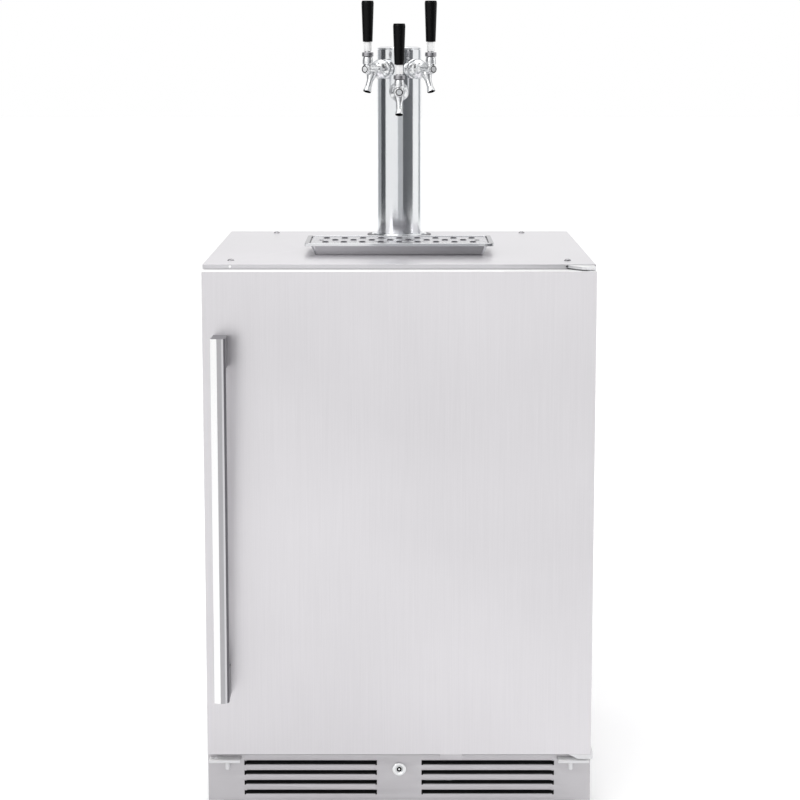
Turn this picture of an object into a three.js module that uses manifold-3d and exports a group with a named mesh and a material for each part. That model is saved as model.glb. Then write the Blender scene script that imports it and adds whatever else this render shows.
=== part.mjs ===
// A three-tap kegerator: an undercounter refrigerator for kegs with a draft tower on its top panel.
// Millimetres. x runs to the right, y from front to back and z up from the floor. Depths are measured
// from the front face of the door, and the whole is moved at the end so that its box is centred.
import * as THREE from "three";
import { mergeVertices } from "three/addons/utils/BufferGeometryUtils.js";
import Module from "manifold-3d";

// Shared by all pieces
const fit = 0.3; // gap between two pieces that touch
const overrun = 2; // how far a cutting tool runs past the face it cuts
const sheet = 1; // steel sheet of the shell, the door and the panels

// Cabinet
const cabinetWidth = 595;
const cabinetDepth = 543;
const counterHeight = 866;
const skirtGap = 26.7;
const panelLip = 6.9;
const panelOverhang = 21;
const throatGap = 1.2; // between the shell's front flange and the liner that passes through it
const airOpeningInset = 57.5;
const airLintel = 8;

// Interior
const sideWall = 45;
const topWall = 52;
const floorWall = 38;
const backWall = 45;
const foamBottom = 112;
const linerWall = 2.5;
const humpHeight = 170;
const humpDepth = 123;
const humpWall = 28;
const machineWall = 62.5;
const rearOpeningInset = 12;
const rearOpeningBottom = 45;
const coverLap = 8;
const ventRows = 7;
const ventColumns = 2;
const ventWidth = 160;
const ventHeight = 6;
const ventPitch = 20;
const ventColumnPitch = 200;
const ventTopMargin = 40;

// Door
const doorSideGap = 1.5;
const doorDrop = 7.5; // door's top edge below the counter
const doorThickness = 45;
const doorLinerThickness = 2.7;
const doorLinerInset = 8;
const doorReturn = 12;
const gasketGap = 12;
const gasketWidth = 14;
const gasketSideReach = 11.5; // gasket's outer edge beyond the interior's side
const gasketEndReach = 25; // and beyond its floor and ceiling

// Handle
const handleWidth = 22;
const handleDepth = 18;
const handleStandout = 50;
const handleInset = 27; // door's edge to the bar's middle
const handleTopInset = 94.8;
const handleLength = 558.3;
const handlePostHeight = 47.7;
const handleEdge = 2.5;

// Hinges, placed from the hinge's axis
const hingeInset = 11.5;
const hingeDepth = 17;
const pinRadius = 4;
const pinGap = 0.35;
const pinReach = 15; // pin inside the door
const topPlateThickness = 4;
const topPlateToLeft = 31;
const topPlateToRight = 9;
const topPlateToFront = 8;
const topPlateSlope = 20;
const topFlangeToLeft = 20;
const topFlangeHeight = 38;
const flangeThickness = 3;
const bracketToLeft = 40;
const bracketToRight = 8.5;
const bracketToFront = 13;
const bracketThickness = 4.1;
const bracketDrop = 11.3; // bracket's top below the door
const bracketFlangeHeight = 38;
const bracketFlangeInset = 3;
const shoulderRadius = 5.6;
const boltRadius = 4;
const boltToLeft = 20;
const boltToFront = 4;
const boltLength = 12.5;
const armThickness = 7.5;
const armToLeft = 24;
const armFootToLeft = 10;
const armFront = 1;
const armDepth = 32;
const armEar = 3;
const armEarRise = 3.7;

// Kick plate
const kickHeight = 73.8;
const kickSetback = 23;
const kickGap = 8.3;
const kickFlange = 27;
const louvreRows = 4;
const louvreInner = 34.7;
const louvreMargin = 56.3;
const louvreHeight = 8;
const louvrePitch = 15.87;
const louvreTopMargin = 8.9;
const louvreDepth = 7.5;
const louvreSlit = 4.2;

// Lock, and the catch that its arm works on
const lockDrop = 23.3; // lock's axis below the kick plate's top
const lockRingRadius = 10.75;
const lockRingProud = 2.2;
const lockRingEdge = 1;
const lockBodyRadius = 9;
const lockBodyReach = 9.6;
const lockPlugRadius = 5;
const lockPlugProud = 1.2;
const lockPlugGap = 0.4;
const lockKeyRadius = 4;
const lockKeyDepth = 5;
const lockPostRadius = 1.5;
const armPlane = 11; // lock arm behind the kick plate's face
const armSheet = 2;
const armReach = 80;
const armWidth = 10;
const armFinger = 18;
const armFingerWidth = 8;
const armRestAngle = -21.8;
const armHubRadius = 9;
const armSlotWidth = 28;
const armSlotGap = 1;
const catchWidth = 34;
const catchFront = 1.5;
const catchBack = 41;
const catchLipDrop = 7.4;
const catchHookDrop = 6;

// Base pan and feet
const panBottom = 28;
const panThickness = 2;
const footPadRadius = 18;
const footPadHeight = 7;
const footStemRadius = 5;
const footStemTop = 62;
const footBossRadius = 9;
const footBossHeight = 10;
const footSideInset = 35.5;
const footFrontInset = 18;
const footBackInset = 30;

// Machine space
const compressorInset = 125;
const compressorRadius = 58;
const compressorHeight = 165;
const compressorDome = 34;
const compressorFoot = 16;
const compressorPlate = 3;
const compressorPlateWidth = 190;
const compressorPlateDepth = 110;
const condenserInset = 10;
const condenserWidth = 70;
const condenserHeight = 235;
const condenserFins = 7;
const finThickness = 1.2;
const tubeRadius = 4;
const tubeRows = 2;
const fanRadius = 52;
const fanHubRadius = 17;
const fanHubLength = 12;
const fanBlades = 5;
const fanPitch = 32;
const bladeThickness = 1.6;
const bladeChord = 28;
const shroudThickness = 3;
const shroudRing = 16;
const shroudRingWall = 2;
const shroudGap = 3;
const motorRadius = 15;
const motorLength = 22;
const motorGap = 0.5;
const shroudArms = 3;
const strutWidth = 6;
const inletHeight = 92;
const inletWidth = 48;
const inletTall = 28;
const inletDepth = 26;
const socketWidth = 27;
const socketTall = 19;
const socketDepth = 15;

// Cooling, light and mat inside
const coverSideInset = 12.5;
const coverTopInset = 32;
const coverWidth = 200;
const coverHeight = 262;
const coverDepth = 60;
const coverWall = 2.5;
const coverFanDrop = 102;
const coolFanRadius = 44;
const coolMotorLength = 10;
const grilleRings = 3;
const grilleSpokes = 4;
const grilleBar = 3.5;
const grilleHub = 13;
const returnSlots = 7;
const returnSlotWidth = 12;
const returnSlotHeight = 46;
const returnSlotPitch = 24;
const returnSlotRise = 18;
const coilDepth = 16;
const coilFins = 7;
const coilInset = 12;
const controlWidth = 240;
const controlDepth = 48;
const controlHeight = 22;
const controlSlope = 11;
const controlSetback = 8;
const lightWidth = 220;
const lightDepth = 18;
const lightHeight = 8;
const lightGap = 3;
const matInset = 12;
const matThickness = 2;
const matRib = 1.5;
const matRibWidth = 6;
const matRibs = 9;

// Gas cylinder and regulator, standing on the hump
const cylinderInset = 72.5;
const cylinderRadius = 55.5;
const cylinderHeadroom = 209; // above its shoulder, for the dome, the valve and the upper gauge
const cylinderDome = 40;
const cylinderNeckRadius = 16;
const cylinderHeel = 8;
const valveRadius = 13;
const valveBase = 14;
const valveHeight = 42;
const valveOutletRadius = 8;
const valveOutletReach = 22;
const valveOutletHeight = 24;
const stemRadius = 4;
const stemLength = 10;
const wheelRadius = 19;
const wheelHeight = 13;
const wheelLobes = 8;
const wheelLobeDepth = 2.5;
const regulatorNutRadius = 14;
const regulatorNutLength = 12;
const regulatorRadius = 24;
const regulatorLength = 20;
const gaugeRadius = 24;
const gaugeThickness = 15;
const gaugeStemWidth = 10;
const gaugeStemLength = 10;
const adjusterRadius = 15;
const adjusterLength = 18;
const adjusterLobes = 8;
const adjusterLobeDepth = 1.2;

// Drip tray
const traySetback = 112;
const trayWidth = 298;
const trayDepth = 139;
const trayHeight = 19;
const trayEndFlare = 15; // the foot stands in by this at each end
const traySideFlare = 13.5;
const trayWall = 1.5;
const trayRim = 7;
const trayRimThickness = 2;
const trayLedge = 5;
const grilleThickness = 1.4;
const grilleSink = 1.2; // grille's top below the rim's
const grilleSideGap = 0.3;
const holeRadius = 4;
const longRowHoles = 9;
const rowEndInset = 24.5; // grille's end to the long rows' last hole
const rowSideInset = 28.2; // grille's long side to the outer rows
const slotLength = 16;
const slotEndInset = 17;

// Tower
const towerSetback = 85;
const towerHeight = 322;
const columnRadius = 38.1;
const columnWall = 1.6;
const towerFlangeRadius = 55;
const towerFlangeThickness = 2.5;
const towerPadRadius = 52;
const towerPadThickness = 1;
const linePassage = 30;
const capThickness = 2;
const spigotDepth = 10;
const spigotWall = 3;
const roundedEdge = 0.5;

// Taps. Distances are from the column's axis outwards, and heights from the shank's axis.
const sideTapDrop = 35; // side shanks' axis below the tower's top
const tapStagger = 38; // middle tap below the side ones
const tapSpread = 37; // degrees between neighbouring taps
const shankRadius = 11;
const shankBore = 5.7;
const shankInner = 24;
const shankNutRadius = 14.5;
const shankNutThickness = 5;
const shankTipRadius = 7.3;
const shankTipLength = 2;
const collarRadius = 16.5;
const collarEnd = 44;
const couplingRadius = 16;
const couplingLength = 15;
const couplingChamfer = 2;
const bodyRearRadius = 12;
const bodyFrontRadius = 10;
const bodyFront = 93.8;
const bodyWall = 0.4;
const bodyBore = 5.7;
const capDiscRadius = 6;
const capDiscThickness = 2.2;
const leverAxis = 88;
const pivotHeight = 17;
const bonnetRadius = 9;
const bonnetTop = 16.8;
const bonnetWaist = 7.8;
const bonnetWaistHeight = 6.6;
const ballRadius = 6;
const ballGap = 0.35;
const boreFootRadius = 7.8;
const boreFootHeight = 5.2;
const boreNeckHeight = 9;
const spoutFrom = 76;
const spoutFromDrop = 6;
const spoutTo = 90;
const spoutToDrop = 37.5;
const spoutRadius = 8;
const spoutRadiusLength = 9;
const mouthRadius = 6.75;
const spoutBore = 5;
const beadRise = 0.6;
const beadLength = 3;
const shaftRadius = 3;
const shaftEndRadius = 5.2;
const shaftRear = 50;
const shaftSeatLength = 3;
const shaftEndFrom = 84;
const shaftEndGap = 0.4;
const tipRadius = 2.2;
const tipSlotGap = 0.4;
const tipSlotFront = 4.2;
const tipSlotBack = 2.7;
const tipSlotBottom = -3;
const leverStemRadius = 1.7;
const leverNeckRadius = 4.2;
const ringFrom = 21;
const ringTo = 27;
const ringRadius = 8.7;
const ringFootRadius = 6.9;
const ringChamfer = 1.6;
const neckRadius = 5.2;
const ferruleFrom = 29;
const ferruleTo = 45.2;
const ferruleRadius = 6.95;
const studRadius = 4;
const studTop = 58;
const gripTop = 114;
const gripBoreTop = 60;
const gripFootRadius = 8.1;
const gripTopRadius = 10.4;
const gripRound = 1.6;

// Sides of round pieces
const roundSides = 30;
const pieceSides = 16;
const smallSides = 10;
const nutSides = 6;
const domeSteps = 4;

// Places worked out from the sizes above
const half = (size) => size / 2;
const cabinetFront = doorThickness + gasketGap;
const cabinetBack = cabinetFront + cabinetDepth;
const panelFront = cabinetFront - panelOverhang;
const panelBottom = counterHeight - panelLip;
const shellBack = cabinetBack - sheet - fit;
const shellTop = panelBottom - fit;
const insideShell = cabinetWidth - 2 * (sheet + fit);

const interiorWidth = cabinetWidth - 2 * sideWall;
const interiorFloor = foamBottom + floorWall;
const interiorTop = counterHeight - topWall;
const interiorBack = shellBack - sheet - backWall;
const humpTop = interiorFloor + humpHeight;
const humpFront = interiorBack - humpDepth;

const machineWidth = cabinetWidth - 2 * machineWall;
const machineFront = humpFront + linerWall + humpWall;
const machineTop = humpTop - linerWall - humpWall;
const machineMiddle = half(machineFront + shellBack);
const machineDepth = shellBack - sheet - machineFront - 2 * shroudGap;
const panTop = panBottom + panThickness;
const machineFloor = panTop + fit;
const machineFanHeight = half(machineFloor + machineTop);

const kickTop = skirtGap + kickHeight;
const lockHeight = kickTop - lockDrop;
const doorWidth = cabinetWidth - 2 * doorSideGap;
const doorTop = counterHeight - doorDrop;
const doorBottom = kickTop + kickGap;
const doorHeight = doorTop - doorBottom;
const doorSkinDepth = doorThickness - fit - doorLinerThickness;

const hingeAcross = half(cabinetWidth) - hingeInset;
const flangeBack = cabinetFront - fit;
const bracketTop = doorBottom - bracketDrop;
const bracketFoot = bracketTop - bracketThickness;

const condenserLeft = condenserInset - half(machineWidth);
const shroudAcross = condenserLeft + condenserWidth + shroudGap + motorLength;
const compressorAcross = half(machineWidth) - compressorInset;
const inletAcross = half(shroudAcross + shroudRing + compressorAcross - half(compressorPlateWidth));

const towerDepth = cabinetBack - towerSetback;
const towerSeat = counterHeight + fit + towerPadThickness + fit;
const columnFoot = towerSeat + towerFlangeThickness + fit;
const columnHead = counterHeight + towerHeight - capThickness - fit;
const spigotRadius = columnRadius - columnWall - fit;
const sideTapHeight = towerHeight - sideTapDrop;
const centreTapHeight = sideTapHeight - tapStagger;

// Finishes: colour, roughness and metalness
const finishes = {
  brushedSteel: ["#c9c9cc", 0.38, 0.9],
  polishedSteel: ["#d9dadd", 0.15, 1],
  galvanised: ["#a5a9ab", 0.5, 0.8],
  copper: ["#b87454", 0.35, 0.95],
  brass: ["#b9964e", 0.3, 0.95],
  paintedBlack: ["#1d1e20", 0.45, 0.2],
  blackPlastic: ["#18181a", 0.35, 0],
  greyPlastic: ["#5b5e62", 0.55, 0],
  whitePlastic: ["#eceeee", 0.4, 0],
  lightLens: ["#fbfdff", 0.25, 0],
  foam: ["#e0cf9e", 0.95, 0],
  rubber: ["#2a2b2c", 0.8, 0],
  greyRubber: ["#77797c", 0.75, 0],
  paintedCylinder: ["#8f9498", 0.4, 0.3],
};

// Tools for shapes
const wasm = await Module();
wasm.setup();

function solidOf(geometry) {
  const bare = new THREE.BufferGeometry();
  bare.setAttribute("position", geometry.getAttribute("position"));
  bare.setIndex(geometry.index);
  const merged = mergeVertices(bare);
  return new wasm.Manifold(
    new wasm.Mesh({
      numProp: 3,
      vertProperties: merged.attributes.position.array,
      triVerts: new Uint32Array(merged.index.array),
    }),
  );
}

function geometryOf(solid) {
  const mesh = solid.getMesh();
  const geometry = new THREE.BufferGeometry();
  geometry.setAttribute("position", new THREE.BufferAttribute(mesh.vertProperties, mesh.numProp));
  geometry.setIndex(new THREE.BufferAttribute(mesh.triVerts, 1));
  const facets = geometry.toNonIndexed();
  facets.computeVertexNormals();
  return facets;
}

const join = (first, ...more) =>
  geometryOf(more.reduce((whole, piece) => whole.add(solidOf(piece)), solidOf(first)));
const cut = (stock, ...tools) =>
  geometryOf(tools.reduce((left, tool) => left.subtract(solidOf(tool)), solidOf(stock)));

function slab(x0, x1, y0, y1, z0, z1) {
  const block = new THREE.BoxGeometry(x1 - x0, y1 - y0, z1 - z0);
  return block.translate(half(x0 + x1), half(y0 + y1), half(z0 + z1));
}

// Slabs that reach as far to the left of the middle as to the right, and also as far in depth
const middleSlab = (width, y0, y1, z0, z1) => slab(-half(width), half(width), y0, y1, z0, z1);
const centredSlab = (width, depth, z0, z1) => middleSlab(width, -half(depth), half(depth), z0, z1);

function rod(radius, z0, z1, sides = pieceSides) {
  return new THREE.CylinderGeometry(radius, radius, z1 - z0, sides)
    .rotateX(Math.PI / 2)
    .translate(0, 0, half(z0 + z1));
}

// A profile of [radius, height] points turned about z, listed outwards along the foot and up the outside
function turned(profile, sides = pieceSides) {
  const points = profile.map(([radius, height]) => new THREE.Vector2(radius, height));
  return new THREE.LatheGeometry(points, sides).rotateX(Math.PI / 2);
}

// Points of a quarter of an ellipse between two [radius, height] corners, upright at the first one
function quarterArc([r0, z0], [r1, z1], steps = domeSteps) {
  const points = [];
  for (let i = 0; i <= steps; i++) {
    const angle = (i / steps) * (Math.PI / 2);
    points.push([r1 + (r0 - r1) * Math.cos(angle), z0 + (z1 - z0) * Math.sin(angle)]);
  }
  return points;
}

// Turn a shape that was built upwards so that it points to the front, to the back or to the right
const toFront = (geometry) => geometry.rotateX(Math.PI / 2);
const toBack = (geometry) => geometry.rotateX(-Math.PI / 2);
const toRight = (geometry) => geometry.rotateY(Math.PI / 2);

const outlineOf = (points) => new THREE.Shape(points.map(([u, v]) => new THREE.Vector2(u, v)));
const plate = (shape, thickness, curveSegments = nutSides) =>
  new THREE.ExtrudeGeometry(shape, { depth: thickness, bevelEnabled: false, curveSegments });

// Extrusions of an outline of [x, y], [x, z] or [y, z] points along the axis that is left
const alongZ = (points, z0, z1) => plate(outlineOf(points), z1 - z0).translate(0, 0, z0);
const alongY = (points, y0, y1) => toFront(plate(outlineOf(points), y1 - y0)).translate(0, y1, 0);
function alongX(points, x0, x1) {
  const axes = new THREE.Matrix4().makeBasis(
    new THREE.Vector3(0, 1, 0),
    new THREE.Vector3(0, 0, 1),
    new THREE.Vector3(1, 0, 0),
  );
  return plate(outlineOf(points), x1 - x0).applyMatrix4(axes).translate(x0, 0, 0);
}

// A block whose foot and top are [width, depth] rectangles of different sizes
function tapered(foot, top, z0, z1) {
  const block = new THREE.BoxGeometry(1, 1, 1);
  const place = block.getAttribute("position");
  for (let i = 0; i < place.count; i++) {
    const raised = place.getZ(i) > 0;
    const [width, depth] = raised ? top : foot;
    place.setXYZ(i, place.getX(i) * width, place.getY(i) * depth, raised ? z1 : z0);
  }
  return block;
}

function add(parent, name, geometry, finish) {
  const [color, roughness, metalness] = finishes[finish];
  const mesh = new THREE.Mesh(geometry, new THREE.MeshStandardMaterial({ color, roughness, metalness }));
  mesh.name = name;
  parent.add(mesh);
  return mesh;
}

function groupAt(parent, x, y, z) {
  const group = new THREE.Group();
  group.position.set(x, y, z);
  parent.add(group);
  return group;
}

// Cabinet

function cabinetShell() {
  const throatWall = linerWall + throatGap;
  const inside = middleSlab(
    cabinetWidth - 2 * sheet,
    cabinetFront + sheet,
    shellBack - sheet,
    skirtGap - overrun,
    shellTop + overrun,
  );
  const throat = middleSlab(
    interiorWidth + 2 * throatWall,
    cabinetFront - overrun,
    cabinetFront + sheet + overrun,
    interiorFloor - throatWall,
    interiorTop + throatWall,
  );
  const airOpening = middleSlab(
    cabinetWidth - 2 * airOpeningInset,
    cabinetFront - overrun,
    cabinetFront + sheet + overrun,
    skirtGap - overrun,
    foamBottom - airLintel,
  );
  const rearOpening = middleSlab(
    machineWidth - 2 * rearOpeningInset,
    shellBack - sheet - overrun,
    shellBack + overrun,
    rearOpeningBottom,
    machineTop - rearOpeningInset,
  );
  const outside = middleSlab(cabinetWidth, cabinetFront, shellBack, skirtGap, shellTop);
  return cut(outside, inside, throat, airOpening, rearOpening);
}

// The passage for the beer lines, from the interior up into the tower
const passage = (z0, z1) => rod(linePassage, z0 - overrun, z1 + overrun).translate(0, towerDepth, 0);

function topPanel() {
  const pan = middleSlab(cabinetWidth, panelFront, cabinetBack, panelBottom, counterHeight);
  const hollow = middleSlab(
    cabinetWidth - 2 * sheet,
    panelFront + sheet,
    cabinetBack - sheet,
    panelBottom - overrun,
    counterHeight - sheet,
  );
  const notch = slab(
    hingeAcross - topPlateToLeft - fit,
    hingeAcross + topPlateToRight + fit,
    panelFront - overrun,
    panelFront + sheet + overrun,
    panelBottom - overrun,
    counterHeight - sheet,
  );
  return cut(pan, hollow, passage(counterHeight - sheet, counterHeight), notch);
}

// The space inside walls of one thickness around the interior, with a step over the hump
function interiorSpace(wall, humpSide) {
  const room = middleSlab(
    interiorWidth + 2 * wall,
    cabinetFront,
    interiorBack + wall,
    interiorFloor - wall,
    interiorTop + wall,
  );
  const underHump = middleSlab(
    interiorWidth + 2 * humpSide,
    humpFront + wall,
    interiorBack + wall + overrun,
    interiorFloor - wall - overrun,
    humpTop - wall,
  );
  return [room, underHump];
}

function insulationFoam() {
  const block = middleSlab(
    insideShell,
    cabinetFront + sheet + fit,
    shellBack - sheet - fit,
    foamBottom,
    counterHeight - sheet - fit,
  );
  const [room, underHump] = interiorSpace(linerWall + fit, -fit);
  const machineSpace = middleSlab(
    machineWidth,
    machineFront,
    shellBack + overrun,
    foamBottom - overrun,
    machineTop,
  );
  return cut(block, cut(room, underHump), machineSpace, passage(interiorTop, counterHeight));
}

function innerLiner() {
  const [outside, underHump] = interiorSpace(linerWall, 0);
  const room = middleSlab(interiorWidth, cabinetFront - overrun, humpFront, interiorFloor, interiorTop);
  const overHump = middleSlab(interiorWidth, humpFront - overrun, interiorBack, humpTop, interiorTop);
  return cut(outside, underHump, room, overHump, passage(interiorTop, interiorTop + linerWall));
}

function rearCover() {
  const grow = coverLap - rearOpeningInset;
  const top = machineTop + grow;
  const vents = [];
  for (let column = 0; column < ventColumns; column++)
    for (let row = 0; row < ventRows; row++) {
      const x = (column - half(ventColumns - 1)) * ventColumnPitch;
      const z = top - ventTopMargin - row * ventPitch;
      const vent = middleSlab(ventWidth, shellBack, cabinetBack + overrun, z - ventHeight, z);
      vents.push(vent.translate(x, 0, 0));
    }
  const inletHole = middleSlab(
    inletWidth + 2 * fit,
    shellBack,
    cabinetBack + overrun,
    inletHeight - half(inletTall) - fit,
    inletHeight + half(inletTall) + fit,
  ).translate(inletAcross, 0, 0);
  const panel = middleSlab(
    machineWidth + 2 * grow,
    cabinetBack - sheet,
    cabinetBack,
    rearOpeningBottom - coverLap,
    top,
  );
  return cut(panel, inletHole, ...vents);
}

// Its face is at the back of the cabinet, and its socket is open to the back
function powerInlet() {
  const body = middleSlab(inletWidth, -inletDepth, 0, -half(inletTall), half(inletTall));
  const socket = middleSlab(socketWidth, -socketDepth, overrun, -half(socketTall), half(socketTall));
  return cut(body, socket);
}

// Base pan and feet

const footAcross = half(cabinetWidth) - footSideInset;
const footFront = cabinetFront + footFrontInset;
const footBack = cabinetBack - footBackInset;
const feet = [
  ["foot_front_left", -footAcross, footFront],
  ["foot_front_right", footAcross, footFront],
  ["foot_back_left", -footAcross, footBack],
  ["foot_back_right", footAcross, footBack],
];

function basePan() {
  const pan = middleSlab(insideShell, cabinetFront + sheet + fit, shellBack - sheet - fit, panBottom, panTop);
  const bossTop = panTop + footBossHeight;
  const bosses = feet.map(([, x, y]) =>
    rod(footBossRadius, panBottom, bossTop, smallSides).translate(x, y, 0),
  );
  const holes = feet.map(([, x, y]) =>
    rod(footStemRadius + pinGap, panBottom - overrun, bossTop + overrun, smallSides).translate(x, y, 0),
  );
  return cut(join(pan, ...bosses), ...holes);
}

function foot() {
  const stem = rod(footStemRadius, footPadHeight - overrun, footStemTop, smallSides);
  return join(rod(footPadRadius, 0, footPadHeight), stem);
}

// Kick plate, lock and catch

// A louvre's sheet slopes inwards from the slot's lower edge, with a cheek at each end
function louvre(x0, x1, top) {
  const bottom = top - louvreHeight;
  const back = kickSetback + louvreDepth;
  const bladeTop = top - louvreSlit;
  const bladeOutline = [
    [kickSetback, bottom],
    [kickSetback + sheet, bottom - sheet],
    [back + sheet, bladeTop],
    [back, bladeTop],
  ];
  const cheekOutline = [
    [kickSetback + half(sheet), bottom - sheet],
    [back + sheet, bladeTop],
    [kickSetback + half(sheet), top + sheet],
  ];
  return [
    alongX(bladeOutline, x0, x1),
    alongX(cheekOutline, x0 - sheet, x0),
    alongX(cheekOutline, x1, x1 + sheet),
  ];
}

function kickPlate() {
  const back = cabinetFront - fit;
  const stock = middleSlab(cabinetWidth, kickSetback, back, skirtGap, kickTop);
  const hollow = middleSlab(
    cabinetWidth - 2 * sheet,
    kickSetback + sheet,
    back + overrun,
    skirtGap - overrun,
    kickTop - sheet,
  );
  const behindFlange = middleSlab(
    cabinetWidth - 2 * sheet,
    kickSetback + kickFlange,
    back + overrun,
    kickTop - sheet - overrun,
    kickTop + overrun,
  );
  const lockHole = toBack(rod(lockBodyRadius + fit, -overrun, sheet + overrun));
  lockHole.translate(0, kickSetback, lockHeight);
  const armSlot = middleSlab(
    armSlotWidth,
    kickSetback + armPlane - armSlotGap,
    kickSetback + armPlane + armSheet + armSlotGap,
    kickTop - sheet - overrun,
    kickTop + overrun,
  ).translate(armReach, 0, 0);
  const bracketSlots = [-1, 1].map((side) =>
    middleSlab(
      bracketToLeft + bracketToRight + 2 * fit,
      kickSetback - overrun,
      kickSetback + sheet + overrun,
      bracketFoot - fit,
      bracketTop + fit,
    ).translate(side * (hingeAcross + half(bracketToRight - bracketToLeft)), 0, 0),
  );
  const louvreOuter = half(cabinetWidth) - louvreMargin;
  const openings = [];
  const blades = [];
  for (let row = 0; row < louvreRows; row++) {
    const top = kickTop - louvreTopMargin - row * louvrePitch;
    for (const [x0, x1] of [
      [louvreInner, louvreOuter],
      [-louvreOuter, -louvreInner],
    ]) {
      const front = kickSetback - overrun;
      openings.push(slab(x0, x1, front, kickSetback + sheet + overrun, top - louvreHeight, top));
      blades.push(...louvre(x0, x1, top));
    }
  }
  return join(cut(stock, hollow, behindFlange, lockHole, armSlot, ...bracketSlots, ...openings), ...blades);
}

// The lock is built along its own axis, with zero on the kick plate's face
function lockHousing() {
  const body = turned([
    [0, -lockBodyReach],
    [lockBodyRadius, -lockBodyReach],
    [lockBodyRadius, fit],
    [lockRingRadius, fit],
    [lockRingRadius, lockRingProud - lockRingEdge],
    [lockRingRadius - lockRingEdge, lockRingProud],
    [0, lockRingProud],
  ]);
  const bore = rod(lockPlugRadius + lockPlugGap, -lockBodyReach - overrun, lockRingProud + overrun);
  return toFront(cut(body, bore));
}

// A ring-shaped keyway with a post in its middle, for a tubular key
function lockPlug() {
  const keyway = turned([
    [lockPostRadius, lockPlugProud - lockKeyDepth],
    [lockKeyRadius, lockPlugProud - lockKeyDepth],
    [lockKeyRadius, lockPlugProud + overrun],
    [lockPostRadius, lockPlugProud + overrun],
    [lockPostRadius, lockPlugProud - lockKeyDepth],
  ]);
  return toFront(cut(rod(lockPlugRadius, fit - armPlane, lockPlugProud), keyway));
}

// Drawn level, from the plug's axis to the finger that rises into the catch
function lockArm() {
  const tip = armReach + half(armFingerWidth);
  const outline = [
    [0, -half(armWidth)],
    [tip, -half(armWidth)],
    [tip, armFinger],
    [tip - armFingerWidth, armFinger],
    [tip - armFingerWidth, half(armWidth)],
    [0, half(armWidth)],
  ];
  return join(alongY(outline, 0, armSheet), toBack(rod(armHubRadius, 0, armSheet)));
}

function doorCatch() {
  const top = -fit;
  const outline = [
    [catchFront, top - catchLipDrop],
    [catchFront + sheet, top - catchLipDrop],
    [catchFront + sheet, top - sheet],
    [catchBack - sheet, top - sheet],
    [catchBack - sheet, top - catchHookDrop],
    [catchBack, top - catchHookDrop],
    [catchBack, top],
    [catchFront, top],
  ];
  return alongX(outline, armReach - half(catchWidth), armReach + half(catchWidth));
}

// Hinges

const onHinge = (geometry) => geometry.translate(hingeAcross, hingeDepth, 0);

function topHingeBracket() {
  const top = counterHeight - sheet - fit;
  const plateFoot = top - topPlateThickness;
  const left = hingeAcross - topPlateToLeft;
  const right = hingeAcross + topPlateToRight;
  const front = hingeDepth - topPlateToFront;
  const outline = [
    [left, flangeBack],
    [left, panelFront],
    [left + topPlateSlope, front],
    [right, front],
    [right, flangeBack],
  ];
  const flange = slab(
    hingeAcross - topFlangeToLeft,
    right,
    flangeBack - flangeThickness,
    flangeBack,
    plateFoot - topFlangeHeight,
    top - half(topPlateThickness),
  );
  const pin = rod(pinRadius, doorTop - pinReach, top - half(topPlateThickness));
  return join(alongZ(outline, plateFoot, top), flange, onHinge(pin));
}

// The bracket that both sides share, drawn for the right: plate, flange and the stub of the door stop bolt
function hingeBase() {
  const left = hingeAcross - bracketToLeft;
  const right = hingeAcross + bracketToRight;
  const middle = bracketFoot + half(bracketThickness);
  const arm = slab(left, right, hingeDepth - bracketToFront, flangeBack, bracketFoot, bracketTop);
  const flange = slab(
    left,
    right - bracketFlangeInset,
    flangeBack - flangeThickness,
    flangeBack,
    bracketFoot - bracketFlangeHeight,
    middle,
  );
  const bolt = rod(boltRadius, bracketFoot - boltLength, middle, smallSides);
  return join(arm, flange, bolt.translate(hingeAcross - boltToLeft, hingeDepth - boltToFront, 0));
}

function bottomHingeBracket() {
  const middle = bracketFoot + half(bracketThickness);
  const shoulder = rod(shoulderRadius, middle, doorBottom - fit - armThickness - fit);
  return join(hingeBase(), onHinge(shoulder), onHinge(rod(pinRadius, middle, doorBottom + pinReach)));
}

function spareHingeBracket() {
  const hole = rod(pinRadius + pinGap, bracketFoot - overrun, bracketTop + overrun);
  return cut(hingeBase(), onHinge(hole));
}

// Door. Its group stands at the height of the door's bottom edge.

const pinHole = (z0, z1) => onHinge(rod(pinRadius + pinGap, z0, z1));

function doorHingePlate() {
  const top = -fit;
  const bottom = top - armThickness;
  const earInside = half(doorWidth) + fit;
  const outline = [
    [hingeAcross - armToLeft, top],
    [hingeAcross - armFootToLeft, bottom],
    [earInside + armEar, bottom],
    [earInside + armEar, armEarRise],
    [earInside, armEarRise],
    [earInside, top],
  ];
  return cut(alongY(outline, armFront, armFront + armDepth), pinHole(bottom - overrun, overrun));
}

function doorSkin() {
  const outside = middleSlab(doorWidth, 0, doorSkinDepth, 0, doorHeight);
  const inside = middleSlab(doorWidth - 2 * sheet, sheet, doorSkinDepth - sheet, sheet, doorHeight - sheet);
  const mouth = middleSlab(
    doorWidth - 2 * doorReturn,
    doorSkinDepth - sheet - overrun,
    doorSkinDepth + overrun,
    doorReturn,
    doorHeight - doorReturn,
  );
  const lowerHole = pinHole(-overrun, sheet + overrun);
  const upperHole = pinHole(doorHeight - sheet - overrun, doorHeight + overrun);
  return cut(outside, inside, mouth, lowerHole, upperHole);
}

function doorFoam() {
  const inset = sheet + fit;
  const block = middleSlab(doorWidth - 2 * inset, inset, doorSkinDepth - inset, inset, doorHeight - inset);
  const depth = pinReach + overrun;
  return cut(block, pinHole(0, depth), pinHole(doorHeight - depth, doorHeight));
}

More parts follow.
